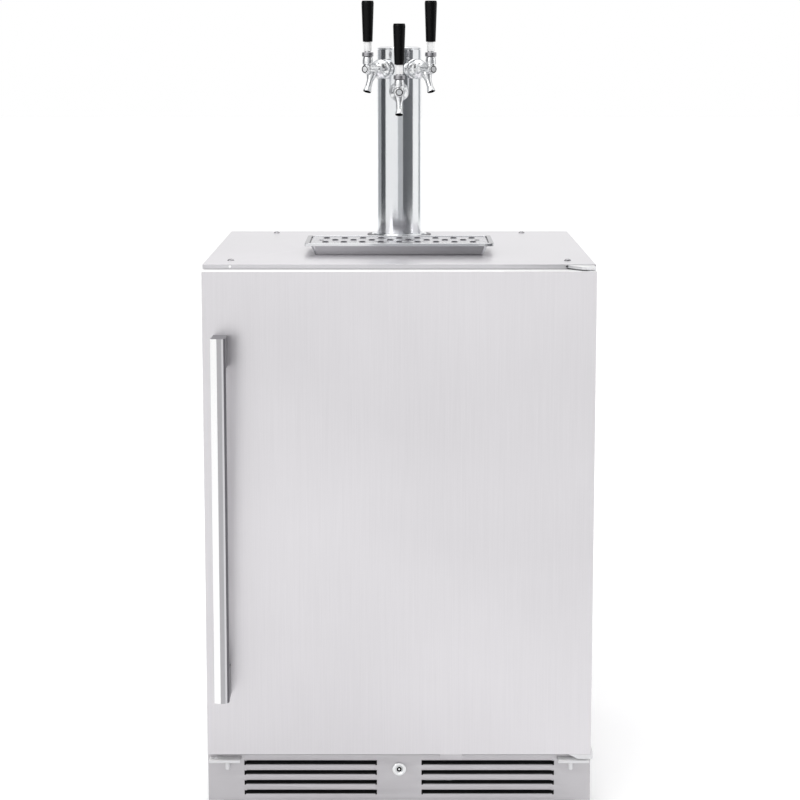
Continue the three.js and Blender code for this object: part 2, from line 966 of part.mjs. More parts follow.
// A sheet over the back of the door, with a step that fills the mouth of the skin
function doorLiner() {
  const step = doorReturn + fit;
  return join(
    middleSlab(
      doorWidth - 2 * doorLinerInset,
      doorSkinDepth + fit,
      doorThickness,
      doorLinerInset,
      doorHeight - doorLinerInset,
    ),
    middleSlab(doorWidth - 2 * step, doorSkinDepth - sheet, doorThickness - sheet, step, doorHeight - step),
  );
}

function doorGasket() {
  const front = doorThickness + fit;
  const back = cabinetFront - fit;
  const bottom = interiorFloor - gasketEndReach - doorBottom;
  const top = interiorTop + gasketEndReach - doorBottom;
  const width = interiorWidth + 2 * gasketSideReach;
  const inside = middleSlab(
    width - 2 * gasketWidth,
    front - overrun,
    back + overrun,
    bottom + gasketWidth,
    top - gasketWidth,
  );
  return cut(middleSlab(width, front, back, bottom, top), inside);
}

// A square bar, its two front edges taken off, on a welded block at each end
function doorHandle() {
  const side = half(handleWidth);
  const barBack = handleDepth - handleStandout;
  const section = [
    [-side + handleEdge, -handleStandout],
    [side - handleEdge, -handleStandout],
    [side, handleEdge - handleStandout],
    [side, barBack],
    [-side, barBack],
    [-side, handleEdge - handleStandout],
  ];
  const post = (z0) => middleSlab(handleWidth, barBack - sheet, -fit, z0, z0 + handlePostHeight);
  return join(alongZ(section, 0, handleLength), post(0), post(handleLength - handlePostHeight));
}

// Machine space

function compressor() {
  const middle = half(compressorFoot + compressorHeight);
  const neck = compressorRadius - compressorDome;
  const upper = quarterArc([compressorRadius, compressorHeight - compressorDome], [neck, compressorHeight]);
  const lower = upper.map(([radius, z]) => [radius, 2 * middle - z]).reverse();
  const pot = turned([[0, compressorFoot], ...lower, ...upper, [0, compressorHeight]]);
  const plateTop = compressorFoot + compressorPlate;
  const base = centredSlab(compressorPlateWidth, compressorPlateDepth, compressorFoot, plateTop);
  const legAcross = half(compressorPlateWidth) - footBossRadius;
  const legDepth = half(compressorPlateDepth) - footBossRadius;
  const leg = (x, y) =>
    rod(footBossRadius, 0, plateTop - half(compressorPlate), smallSides).translate(x, y, 0);
  const legs = [-legAcross, legAcross].flatMap((x) => [-legDepth, legDepth].map((y) => leg(x, y)));
  return join(pot, base, ...legs);
}

// Thin plates in rows along y on straight tubes
function finBlock(width, depth, height, fins) {
  const pitch = (depth - finThickness) / (fins - 1);
  const plates = [];
  for (let i = 0; i < fins; i++) plates.push(slab(0, width, i * pitch, i * pitch + finThickness, 0, height));
  const tubes = [];
  for (let row = 1; row <= tubeRows; row++) {
    const x = half(width) + (row % 2 ? tubeRadius : -tubeRadius);
    tubes.push(toBack(rod(tubeRadius, 0, depth, nutSides)).translate(x, 0, (row / (tubeRows + 1)) * height));
  }
  return join(...plates, ...tubes);
}

// A hub with pitched blades whose tips reach the fan's radius, turning about z
function fan(radius) {
  const length = radius - fanHubRadius + overrun;
  const blades = [];
  for (let i = 0; i < fanBlades; i++)
    blades.push(
      new THREE.BoxGeometry(length, bladeChord, bladeThickness)
        .rotateX(THREE.MathUtils.degToRad(fanPitch))
        .translate(radius - half(length), 0, half(fanHubLength))
        .rotateZ((i / fanBlades) * 2 * Math.PI),
    );
  return join(rod(fanHubRadius, 0, fanHubLength), ...blades);
}

// A board with a round throat, and behind it three arms that carry the motor. Built about the fan's
// axis, with the board's edges along x and y, and then turned to blow across the machine space.
function fanShroud() {
  const throat = fanRadius + shroudGap;
  const armsBack = -motorLength;
  const board = slab(
    machineFanHeight + shroudGap - machineTop,
    machineFanHeight - machineFloor,
    -half(machineDepth),
    half(machineDepth),
    0,
    shroudThickness,
  );
  const ring = rod(throat + shroudRingWall, 0, shroudRing, roundSides);
  const hole = rod(throat, -overrun, shroudRing + overrun, roundSides);
  const arms = [];
  for (let i = 0; i < shroudArms; i++) {
    const turn = (i / shroudArms) * 2 * Math.PI;
    const width = half(strutWidth);
    const reach = slab(0, throat + shroudRingWall, -width, width, armsBack, armsBack + shroudThickness);
    const riser = slab(throat, throat + shroudRingWall, -width, width, armsBack, half(shroudThickness));
    arms.push(reach.rotateZ(turn), riser.rotateZ(turn));
  }
  return toRight(join(cut(join(board, ring), hole), ...arms, rod(motorRadius, armsBack, -motorGap)));
}

// Cooling, light and mat inside

// A ring-shaped slot of the fan grille, between two spokes
function grilleSlot(x, y, inner, outer, from, to) {
  const spoke = (radius) => half(grilleBar) / radius;
  const slot = new THREE.Path();
  slot.absarc(x, y, outer, from + spoke(outer), to - spoke(outer), false);
  slot.absarc(x, y, inner, to - spoke(inner), from + spoke(inner), true);
  slot.closePath();
  return slot;
}

// Built from its lower left front corner: a face with the fan grille and return slots, and four sides
function evaporatorCover() {
  const front = outlineOf([
    [0, 0],
    [coverWidth, 0],
    [coverWidth, coverHeight],
    [0, coverHeight],
  ]);
  const fanAcross = half(coverWidth);
  const fanHeight = coverHeight - coverFanDrop;
  const step = (coolFanRadius - grilleHub) / grilleRings;
  for (let ring = 0; ring < grilleRings; ring++)
    for (let spoke = 0; spoke < grilleSpokes; spoke++) {
      const inner = grilleHub + ring * step;
      const from = (spoke / grilleSpokes) * 2 * Math.PI;
      const to = from + (2 * Math.PI) / grilleSpokes;
      front.holes.push(grilleSlot(fanAcross, fanHeight, inner, inner + step - grilleBar, from, to));
    }
  const returns = [];
  for (let i = 0; i < returnSlots; i++) {
    const x = fanAcross + (i - half(returnSlots - 1)) * returnSlotPitch;
    const slot = middleSlab(returnSlotWidth, -overrun, coverWall + overrun, 0, returnSlotHeight);
    returns.push(slot.translate(x, 0, returnSlotRise));
  }
  const face = toFront(plate(front, coverWall, half(domeSteps))).translate(0, coverWall, 0);
  const hollow = slab(
    coverWall,
    coverWidth - coverWall,
    -overrun,
    coverDepth + overrun,
    coverWall,
    coverHeight - coverWall,
  );
  const sides = cut(slab(0, coverWidth, 0, coverDepth, 0, coverHeight), hollow);
  const motor = toBack(rod(grilleHub, 0, coolMotorLength, smallSides)).translate(fanAcross, 0, fanHeight);
  return join(sides, cut(face, ...returns), motor);
}

function controlPanel() {
  const outline = [
    [0, controlSlope],
    [controlSlope, 0],
    [controlDepth, 0],
    [controlDepth, controlHeight],
    [0, controlHeight],
  ];
  return alongX(outline, -half(controlWidth), half(controlWidth));
}

function floorMat() {
  const width = interiorWidth - 2 * matInset;
  const depth = humpFront - cabinetFront - 2 * matInset;
  const ribs = [];
  for (let i = 1; i <= matRibs; i++) {
    const x = (i / (matRibs + 1)) * width - half(width);
    const rib = middleSlab(matRibWidth, matRibWidth, depth - matRibWidth, 0, matThickness + matRib);
    ribs.push(rib.translate(x, 0, 0));
  }
  return join(middleSlab(width, 0, depth, 0, matThickness), ...ribs);
}

// Gas cylinder and regulator. Heights are from the cylinder's foot.

const cylinderShoulder = interiorTop - humpTop - cylinderHeadroom;
const valveFoot = cylinderShoulder + cylinderDome;
const valveTop = valveFoot + valveBase + valveHeight;
const outletHeight = valveFoot + valveBase + valveOutletHeight;

function gasCylinder() {
  const shell = turned(
    [
      [0, 0],
      [cylinderRadius - cylinderHeel, 0],
      [cylinderRadius, cylinderHeel],
      ...quarterArc([cylinderRadius, cylinderShoulder], [cylinderNeckRadius, valveFoot]),
      [cylinderNeckRadius, valveFoot + valveBase],
      [0, valveFoot + valveBase],
    ],
    roundSides,
  );
  const valve = rod(valveRadius, valveFoot, valveTop, smallSides);
  const outlet = toFront(rod(valveOutletRadius, 0, valveOutletReach, smallSides));
  const stem = rod(stemRadius, valveTop - overrun, valveTop + stemLength, smallSides);
  return join(shell, valve, outlet.translate(0, 0, outletHeight), stem);
}

// A grip with round lobes and a blind bore that fits over a valve's stem
function lobedKnob(radius, height, lobes, lobeDepth) {
  const points = [];
  const count = lobes * domeSteps;
  for (let i = 0; i < count; i++) {
    const angle = (i / count) * 2 * Math.PI;
    const reach = radius - half(lobeDepth) * (1 - Math.cos(lobes * angle));
    points.push([reach * Math.cos(angle), reach * Math.sin(angle)]);
  }
  const bore = rod(stemRadius + pinGap, -overrun, stemLength, smallSides);
  return cut(alongZ(points, 0, height), bore);
}

// Built upwards from the open end of its nut: nut, body, and the stem that takes the adjusting knob.
// One gauge stands on top and one at the side, both facing the same way as the knob.
function regulator() {
  const bodyFoot = regulatorNutLength;
  const bodyTop = bodyFoot + regulatorLength;
  const outletBore = rod(valveOutletRadius + pinGap, -overrun, bodyFoot, smallSides);
  const nut = cut(rod(regulatorNutRadius, 0, bodyFoot + sheet, nutSides), outletBore);
  const body = rod(regulatorRadius, bodyFoot, bodyTop);
  const stem = rod(stemRadius, bodyTop - overrun, bodyTop + stemLength, smallSides);
  const middle = half(bodyFoot + bodyTop);
  const gaugeCentre = regulatorRadius + gaugeStemLength + gaugeRadius;
  const gauges = [0, -Math.PI / 2].map((turn) => {
    const neck = slab(
      -half(gaugeStemWidth),
      half(gaugeStemWidth),
      0,
      gaugeCentre,
      middle - half(gaugeStemWidth),
      middle + half(gaugeStemWidth),
    );
    const dial = rod(gaugeRadius, middle, middle + gaugeThickness).translate(0, gaugeCentre, 0);
    return join(neck, dial).rotateZ(turn);
  });
  return join(nut, body, stem, ...gauges);
}

// Drip tray, built about the middle of its foot

const grilleWidth = trayWidth - 2 * (trayRim + grilleSideGap);
const grilleDepth = trayDepth - 2 * (trayRim + grilleSideGap);
const grilleFoot = trayHeight - grilleSink - grilleThickness;
const holePitch = (grilleWidth - 2 * rowEndInset) / (longRowHoles - 1);
const holeRowPitch = half(grilleDepth) - rowSideInset;

function dripTray() {
  const rimInside = [trayWidth - 2 * trayRim, trayDepth - 2 * trayRim];
  const shoulder = rimInside.map((size) => size + 2 * trayWall);
  const ledgeInside = rimInside.map((size) => size - 2 * trayLedge);
  const foot = [trayWidth - 2 * trayEndFlare, trayDepth - 2 * traySideFlare];
  const floor = foot.map((size) => size - 2 * trayWall);
  const seat = grilleFoot - fit;
  const pan = tapered(foot, shoulder, 0, trayHeight);
  const rim = centredSlab(trayWidth, trayDepth, trayHeight - trayRimThickness, trayHeight);
  const basin = tapered(floor, ledgeInside, trayWall, seat);
  const mouth = tapered(ledgeInside, ledgeInside, seat - half(trayWall), seat + overrun);
  const recess = tapered(rimInside, rimInside, seat, trayHeight + overrun);
  return cut(join(pan, rim), basin, mouth, recess);
}

function roundHole(x, y) {
  const hole = new THREE.Path();
  hole.absarc(x, y, holeRadius, 0, 2 * Math.PI, false);
  return hole;
}

function dripGrille() {
  const outline = outlineOf([
    [-half(grilleWidth), -half(grilleDepth)],
    [half(grilleWidth), -half(grilleDepth)],
    [half(grilleWidth), half(grilleDepth)],
    [-half(grilleWidth), half(grilleDepth)],
  ]);
  for (const row of [-1, 0, 1]) {
    const count = row === 0 ? longRowHoles - 1 : longRowHoles;
    for (let i = 0; i < count; i++)
      outline.holes.push(roundHole((i - half(count - 1)) * holePitch, row * holeRowPitch));
  }
  for (const side of [-1, 1]) {
    const x = side * (half(grilleWidth) - slotEndInset);
    const slot = new THREE.Path();
    slot.absarc(x, half(slotLength) - holeRadius, holeRadius, 0, Math.PI, false);
    slot.absarc(x, holeRadius - half(slotLength), holeRadius, Math.PI, 2 * Math.PI, false);
    slot.closePath();
    outline.holes.push(slot);
  }
  return plate(outline, grilleThickness, domeSteps);
}

// Tower

const towerPad = () =>
  turned(
    [
      [linePassage, 0],
      [towerPadRadius, 0],
      [towerPadRadius, towerPadThickness],
      [linePassage, towerPadThickness],
      [linePassage, 0],
    ],
    roundSides,
  );

function towerBase() {
  const top = towerFlangeThickness;
  return turned(
    [
      [linePassage, 0],
      [towerFlangeRadius, 0],
      [towerFlangeRadius, top - roundedEdge],
      [towerFlangeRadius - roundedEdge, top],
      [spigotRadius, top],
      [spigotRadius, top + spigotDepth],
      [linePassage, top + spigotDepth],
      [linePassage, 0],
    ],
    roundSides,
  );
}

// Taps: side, angle about the column in degrees, and height of the shank's axis above the counter
const taps = [
  ["left", -tapSpread, sideTapHeight],
  ["centre", 0, centreTapHeight],
  ["right", tapSpread, sideTapHeight],
];

function towerColumn() {
  const inside = columnRadius - columnWall;
  const wall = turned(
    [
      [inside, columnFoot],
      [columnRadius, columnFoot],
      [columnRadius, columnHead],
      [inside, columnHead],
      [inside, columnFoot],
    ],
    roundSides,
  );
  const holes = taps.map(([, angle, height]) =>
    toFront(rod(shankRadius + fit, 0, columnRadius + overrun))
      .rotateZ(THREE.MathUtils.degToRad(angle))
      .translate(0, 0, counterHeight + height),
  );
  return cut(wall, ...holes);
}

// Its flat foot, where it sits on the column, is at zero
function towerCap() {
  return turned(
    [
      [spigotRadius - spigotWall, -spigotDepth],
      [spigotRadius, -spigotDepth],
      [spigotRadius, 0],
      [columnRadius, 0],
      [columnRadius, capThickness - roundedEdge],
      [columnRadius - roundedEdge, capThickness],
      [0, capThickness],
      [0, 0],
      [spigotRadius - spigotWall, 0],
      [spigotRadius - spigotWall, -spigotDepth],
    ],
    roundSides,
  );
}

// A threaded tube through the column's wall, with a nut inside the column and a collar outside
function shank() {
  const nutTo = Math.sqrt((columnRadius - columnWall - fit) ** 2 - shankNutRadius ** 2);
  const thread = rod(shankRadius, shankInner, collarEnd);
  const nut = rod(shankNutRadius, nutTo - shankNutThickness, nutTo, nutSides);
  const tip = rod(shankTipRadius, collarEnd - overrun, collarEnd + shankTipLength);
  const columnSpace = toFront(rod(columnRadius + fit, -couplingRadius * 2, couplingRadius * 2, roundSides));
  const collar = cut(rod(collarRadius, half(columnRadius), collarEnd), columnSpace);
  const bore = rod(shankBore, shankInner - overrun, collarEnd + shankTipLength + overrun);
  return toFront(cut(join(thread, nut, tip, collar), bore));
}

// Aims a shape that was built along the spout, from the barrel down to the mouth
const spoutRun = new THREE.Vector2(spoutTo - spoutFrom, spoutToDrop - spoutFromDrop);
const alongSpout = (geometry) =>
  geometry.rotateX(Math.PI - Math.atan2(spoutRun.x, spoutRun.y)).translate(0, -spoutFrom, -spoutFromDrop);

function faucetBody() {
  const nutFrom = collarEnd + fit;
  const nutTo = nutFrom + couplingLength;
  const barrel = toFront(
    turned([
      [0, nutFrom],
      [couplingRadius - couplingChamfer, nutFrom],
      [couplingRadius, nutFrom + couplingChamfer],
      [couplingRadius, nutTo - couplingChamfer],
      [couplingRadius - couplingChamfer, nutTo],
      [bodyRearRadius, nutTo],
      [bodyFrontRadius, leverAxis - bonnetRadius],
      [bodyFrontRadius, bodyFront - couplingChamfer],
      [capDiscRadius, bodyFront],
      [capDiscRadius, bodyFront + capDiscThickness],
      [0, bodyFront + capDiscThickness],
    ]),
  );
  const bonnet = turned([
    [0, 0],
    [bonnetWaist, 0],
    [bonnetRadius, bonnetWaistHeight],
    [bonnetRadius, bonnetTop],
    [0, bonnetTop],
  ]).translate(0, -leverAxis, 0);
  const length = spoutRun.length();
  const spout = alongSpout(
    turned([
      [0, -spoutFromDrop],
      [spoutRadius, -spoutFromDrop],
      [spoutRadius, spoutRadiusLength],
      [mouthRadius, length - beadLength],
      [mouthRadius + beadRise, length - half(beadLength)],
      [mouthRadius, length],
      [0, length],
    ]),
  );
  const bore = toFront(rod(bodyBore, 0, bodyFront - bodyWall));
  const shankSeat = toFront(rod(shankTipRadius + fit, 0, collarEnd + shankTipLength + fit));
  const leverBore = turned([
    [0, boreFootHeight],
    [boreFootRadius, boreFootHeight],
    [ballRadius + ballGap, boreNeckHeight],
    [ballRadius + ballGap, bonnetTop + overrun],
    [0, bonnetTop + overrun],
  ]).translate(0, -leverAxis, 0);
  const spoutHole = alongSpout(rod(spoutBore, 0, length + overrun));
  return cut(join(barrel, bonnet, spout), bore, shankSeat, leverBore, spoutHole);
}

// A rod with its seal at the back, and at the front a slotted end that the lever's tip pushes
function faucetShaft() {
  const endTo = bodyFront - bodyWall - shaftEndGap;
  const body = turned(
    [
      [0, shaftRear],
      [shaftEndRadius, shaftRear],
      [shaftEndRadius, shaftRear + shaftSeatLength],
      [shaftRadius, shaftRear + shaftSeatLength],
      [shaftRadius, shaftEndFrom],
      [shaftEndRadius, shaftEndFrom],
      [shaftEndRadius, endTo],
      [0, endTo],
    ],
    smallSides,
  );
  const slot = middleSlab(
    2 * (tipRadius + tipSlotGap),
    -leverAxis - tipSlotFront,
    -leverAxis + tipSlotBack,
    tipSlotBottom,
    shaftEndRadius + overrun,
  );
  return cut(toFront(body), slot);
}

// Heights are still from the shank's axis, and the whole is then moved so that its ball is at zero
function tapLever() {
  const ball = new THREE.SphereGeometry(ballRadius, smallSides, domeSteps * 2).rotateX(Math.PI / 2);
  const tip = new THREE.SphereGeometry(tipRadius, smallSides, domeSteps).rotateX(Math.PI / 2);
  const stem = rod(leverStemRadius, 0, pivotHeight, nutSides);
  const upper = turned([
    [0, pivotHeight],
    [leverNeckRadius, pivotHeight],
    [leverNeckRadius, ringFrom],
    [ringFootRadius, ringFrom],
    [ringRadius, ringFrom + ringChamfer],
    [ringRadius, ringTo - roundedEdge],
    [ringRadius - roundedEdge, ringTo],
    [neckRadius, ringTo],
    [neckRadius, ferruleFrom],
    [ferruleRadius, ferruleFrom],
    [ferruleRadius, ferruleTo],
    [studRadius, ferruleTo],
    [studRadius, studTop],
    [0, studTop],
  ]);
  return join(upper, stem, tip, ball.translate(0, 0, pivotHeight)).translate(0, 0, -pivotHeight);
}

function tapHandle() {
  const foot = ferruleTo + fit;
  const grip = turned([
    [0, foot],
    [gripFootRadius, foot],
    [gripTopRadius, gripTop - gripRound],
    [gripTopRadius - gripRound, gripTop],
    [0, gripTop],
  ]);
  return cut(grip, rod(studRadius + fit, foot - overrun, gripBoreTop)).translate(0, 0, -pivotHeight);
}

// Assembly

const kegerator = new THREE.Group();
kegerator.position.y = half(handleStandout - cabinetBack);

add(kegerator, "cabinet_shell", cabinetShell(), "brushedSteel");
add(kegerator, "top_panel", topPanel(), "brushedSteel");
add(kegerator, "insulation_foam", insulationFoam(), "foam");
add(kegerator, "inner_liner", innerLiner(), "whitePlastic");
add(kegerator, "rear_cover", rearCover(), "galvanised");
const inletPlace = groupAt(kegerator, inletAcross, cabinetBack, inletHeight);
add(inletPlace, "power_inlet", powerInlet(), "blackPlastic");
add(kegerator, "base_pan", basePan(), "galvanised");
for (const [name, x, y] of feet) add(groupAt(kegerator, x, y, 0), name, foot(), "blackPlastic");

add(kegerator, "kick_plate", kickPlate(), "brushedSteel");
const lock = groupAt(kegerator, 0, kickSetback, lockHeight);
add(lock, "lock_housing", lockHousing(), "polishedSteel");
add(lock, "lock_plug", lockPlug(), "polishedSteel");
const lockArmMesh = add(groupAt(lock, 0, armPlane, 0), "lock_arm", lockArm(), "galvanised");
lockArmMesh.rotation.y = THREE.MathUtils.degToRad(-armRestAngle);

add(kegerator, "top_hinge_bracket", topHingeBracket(), "brushedSteel");
add(kegerator, "bottom_hinge_bracket", bottomHingeBracket(), "brushedSteel");
const spare = add(kegerator, "spare_hinge_bracket", spareHingeBracket(), "brushedSteel");
spare.scale.x = -1; // the mirror image, for a door hung on the left

const door = groupAt(kegerator, 0, 0, doorBottom);
add(door, "door_skin", doorSkin(), "brushedSteel");
add(door, "door_foam", doorFoam(), "foam");
add(door, "door_liner", doorLiner(), "whitePlastic");
add(door, "door_gasket", doorGasket(), "greyRubber");
add(door, "door_hinge_plate", doorHingePlate(), "brushedSteel");
add(door, "door_catch", doorCatch(), "brushedSteel");
const handleAcross = handleInset - half(doorWidth);
const handleFoot = doorHeight - handleTopInset - handleLength;
add(groupAt(door, handleAcross, 0, handleFoot), "door_handle", doorHandle(), "brushedSteel");

const compressorPlace = groupAt(kegerator, compressorAcross, machineMiddle, machineFloor);
add(compressorPlace, "compressor", compressor(), "paintedBlack");
const condenserPlace = groupAt(kegerator, condenserLeft, machineFront + shroudGap, machineFloor);
const condenser = finBlock(condenserWidth, machineDepth, condenserHeight, condenserFins);
add(condenserPlace, "condenser", condenser, "copper");
const shroudPlace = groupAt(kegerator, shroudAcross, machineMiddle, machineFanHeight);
add(shroudPlace, "fan_shroud", fanShroud(), "blackPlastic");
add(shroudPlace, "condenser_fan", toRight(fan(fanRadius)), "greyPlastic");

const coverLeft = half(interiorWidth) - coverSideInset - coverWidth;
const coverBottom = interiorTop - coverTopInset - coverHeight;
const coverPlace = groupAt(kegerator, coverLeft, interiorBack - fit - coverDepth, coverBottom);
add(coverPlace, "evaporator_cover", evaporatorCover(), "whitePlastic");
const coolFanDepth = coolMotorLength + motorGap;
const coolFanPlace = groupAt(coverPlace, half(coverWidth), coolFanDepth, coverHeight - coverFanDrop);
add(coolFanPlace, "evaporator_fan", toBack(fan(coolFanRadius)), "blackPlastic");
const coil = finBlock(coilDepth, coverWidth - 2 * coilInset, coverHeight - 2 * coilInset, coilFins);
const coilPlace = groupAt(coverPlace, coilInset, coverDepth, coilInset);
coilPlace.rotation.z = -Math.PI / 2; // its fins stand side by side along the cover's width
add(coilPlace, "evaporator_coil", coil, "copper");

const controlPlace = groupAt(kegerator, 0, cabinetFront + controlSetback, interiorTop - controlHeight - fit);
add(controlPlace, "control_panel", controlPanel(), "blackPlastic");
const lightPlace = groupAt(controlPlace, 0, controlDepth + lightGap, controlHeight - lightHeight);
add(lightPlace, "light_strip", middleSlab(lightWidth, 0, lightDepth, 0, lightHeight), "lightLens");
const matPlace = groupAt(kegerator, 0, cabinetFront + matInset, interiorFloor + fit);
add(matPlace, "floor_mat", floorMat(), "greyRubber");

const cylinderAcross = cylinderInset - half(interiorWidth);
const gas = groupAt(kegerator, cylinderAcross, half(humpFront + interiorBack), humpTop + fit);
add(gas, "gas_cylinder", gasCylinder(), "paintedCylinder");
const wheel = lobedKnob(wheelRadius, wheelHeight, wheelLobes, wheelLobeDepth);
add(groupAt(gas, 0, 0, valveTop + fit), "gas_valve_knob", wheel, "blackPlastic");
const regulatorPlace = groupAt(gas, 0, -valveRadius - fit, outletHeight);
add(regulatorPlace, "regulator", toFront(regulator()), "brass");
const adjuster = lobedKnob(adjusterRadius, adjusterLength, adjusterLobes, adjusterLobeDepth);
const adjusterPlace = groupAt(regulatorPlace, 0, -regulatorNutLength - regulatorLength - fit, 0);
add(adjusterPlace, "regulator_knob", toFront(adjuster), "blackPlastic");

const tray = groupAt(kegerator, 0, cabinetFront + traySetback + half(trayDepth), counterHeight + fit);
add(tray, "drip_tray", dripTray(), "polishedSteel");
add(groupAt(tray, 0, 0, grilleFoot), "drip_grille", dripGrille(), "polishedSteel");

const tower = groupAt(kegerator, 0, towerDepth, 0);
add(groupAt(tower, 0, 0, counterHeight + fit), "tower_gasket", towerPad(), "rubber");
add(groupAt(tower, 0, 0, towerSeat), "tower_base", towerBase(), "polishedSteel");
add(tower, "tower_column", towerColumn(), "polishedSteel");
add(groupAt(tower, 0, 0, columnHead + fit), "tower_cap", towerCap(), "polishedSteel");

for (const [side, angle, height] of taps) {
  const tap = groupAt(tower, 0, 0, counterHeight + height);
  tap.rotation.z = THREE.MathUtils.degToRad(angle);
  add(tap, `shank_${side}`, shank(), "polishedSteel");
  add(tap, `faucet_body_${side}`, faucetBody(), "polishedSteel");
  add(tap, `faucet_shaft_${side}`, faucetShaft(), "polishedSteel");
  const pivot = groupAt(tap, 0, -leverAxis, pivotHeight);
  add(pivot, `tap_lever_${side}`, tapLever(), "polishedSteel");
  add(pivot, `tap_handle_${side}`, tapHandle(), "blackPlastic");
}

export default kegerator;
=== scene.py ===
import math

import bmesh
import bpy
from mathutils import Matrix, Vector


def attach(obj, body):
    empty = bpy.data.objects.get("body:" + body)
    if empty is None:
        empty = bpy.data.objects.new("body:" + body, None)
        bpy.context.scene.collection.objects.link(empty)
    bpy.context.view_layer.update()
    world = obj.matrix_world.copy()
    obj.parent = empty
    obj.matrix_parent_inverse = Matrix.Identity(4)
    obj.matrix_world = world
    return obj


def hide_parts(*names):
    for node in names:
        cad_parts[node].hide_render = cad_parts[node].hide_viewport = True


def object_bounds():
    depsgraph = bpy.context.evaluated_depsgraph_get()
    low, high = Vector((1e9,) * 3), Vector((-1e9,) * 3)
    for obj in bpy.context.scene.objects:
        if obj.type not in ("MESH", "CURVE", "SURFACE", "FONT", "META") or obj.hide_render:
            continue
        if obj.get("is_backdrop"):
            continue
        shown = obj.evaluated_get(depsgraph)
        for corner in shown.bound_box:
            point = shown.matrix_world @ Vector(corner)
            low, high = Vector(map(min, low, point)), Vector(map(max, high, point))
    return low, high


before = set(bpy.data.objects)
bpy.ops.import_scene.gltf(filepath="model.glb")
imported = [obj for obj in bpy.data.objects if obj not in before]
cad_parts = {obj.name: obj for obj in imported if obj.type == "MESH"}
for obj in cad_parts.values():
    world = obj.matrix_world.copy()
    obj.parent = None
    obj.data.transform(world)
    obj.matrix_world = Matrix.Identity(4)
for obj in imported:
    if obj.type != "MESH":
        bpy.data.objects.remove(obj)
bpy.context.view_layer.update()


# ---- Camera: a long lens in front of the taps, looking a little down at the door, as in the photograph.
# Its shift stays small, so that other views keep the whole object.
def linked(name, data):
    """A new object of this data, in the scene."""
    thing = bpy.data.objects.new(name, data)
    bpy.context.scene.collection.objects.link(thing)
    return thing


camera = linked("camera", bpy.data.cameras.new("camera"))
bpy.context.scene.camera = camera
camera.data.sensor_width = 36
camera.data.lens = 96.15
camera.data.shift_x = 0.001
camera.data.shift_y = -0.066
camera.data.clip_start, camera.data.clip_end = 0.05, 100
camera.location = (0, -3.4538, 1.2028)
camera.rotation_euler = (math.radians(90 - 8.2), 0, 0)


# ---- Floor: a seamless pale studio floor. It is a matt painted surface that takes the object's shadow,
# and it shows as white where nothing shades it, in mirrors too.
def linear(code):
    """An sRGB hex colour as linear red, green, blue and alpha."""
    parts = [int(code[i : i + 2], 16) / 255 for i in (1, 3, 5)]
    return tuple(v / 12.92 if v <= 0.04045 else ((v + 0.055) / 1.055) ** 2.4 for v in parts) + (1.0,)


def add_node(tree, kind, inputs=None, **settings):
    """A node with its settings; each input takes a value or another node's output."""
    made = tree.nodes.new(kind)
    for key, value in settings.items():
        setattr(made, key, value)
    for key, value in (inputs or {}).items():
        if isinstance(value, bpy.types.NodeSocket):
            tree.links.new(value, made.inputs[key])
        else:
            made.inputs[key].default_value = value
    return made


def seen_directly(tree):
    """1 for rays from the camera, a mirror or through glass, and 0 for rays that light a matt surface."""
    rays = add_node(tree, "ShaderNodeLightPath").outputs
    inputs = {0: rays["Is Camera Ray"], 1: rays["Is Glossy Ray"]}
    either = add_node(tree, "ShaderNodeMath", inputs, operation="MAXIMUM").outputs[0]
    inputs = {0: either, 1: rays["Is Transmission Ray"]}
    return add_node(tree, "ShaderNodeMath", inputs, operation="MAXIMUM").outputs[0]


floor_paint = bpy.data.materials.new("matt_floor_paint")
floor_paint.use_nodes = True
tree = floor_paint.node_tree
tree.nodes.clear()
matt = add_node(tree, "ShaderNodeBsdfDiffuse", {"Color": linear("#f2f2f2"), "Roughness": 1.0})
lift = add_node(tree, "ShaderNodeMath", {0: seen_directly(tree), 1: 0.25}, operation="MULTIPLY")
glow = add_node(tree, "ShaderNodeEmission", {"Color": linear("#ffffff"), "Strength": lift.outputs[0]})
both = add_node(tree, "ShaderNodeAddShader", {0: matt.outputs[0], 1: glow.outputs[0]})
add_node(tree, "ShaderNodeOutputMaterial", {"Surface": both.outputs[0]})

floor_mesh = bpy.data.meshes.new("floor")
floor_mesh.from_pydata([(-30, -30, 0), (30, -30, 0), (30, 30, 0), (-30, 30, 0)], [], [(0, 1, 2, 3)])
floor_mesh.materials.append(floor_paint)
floor = linked("floor", floor_mesh)
floor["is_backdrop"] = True


# ---- Light: an even white studio, one large soft lamp from the upper left, one from the right and one
# from above, and dark cards beside the tower that polished metal mirrors as bands. The cards show only
# in mirrors.
def new_finish(name, inputs):
    """A new material and its shader, with these inputs set."""
    made = bpy.data.materials.new(name)
    made.use_nodes = True
    shader = made.node_tree.nodes["Principled BSDF"]
    for key, value in inputs.items():
        shader.inputs[key].default_value = value
    return made, shader


world = bpy.data.worlds.new("studio")
bpy.context.scene.world = world
world.use_nodes = True
tree = world.node_tree
tree.nodes.clear()
strength = add_node(
    tree, "ShaderNodeMapRange", {"Value": seen_directly(tree), "To Min": 0.74, "To Max": 1.0}
)
sky = add_node(tree, "ShaderNodeBackground", {"Color": linear("#ffffff"), "Strength": strength.outputs[0]})
add_node(tree, "ShaderNodeOutputWorld", {"Surface": sky.outputs[0]})

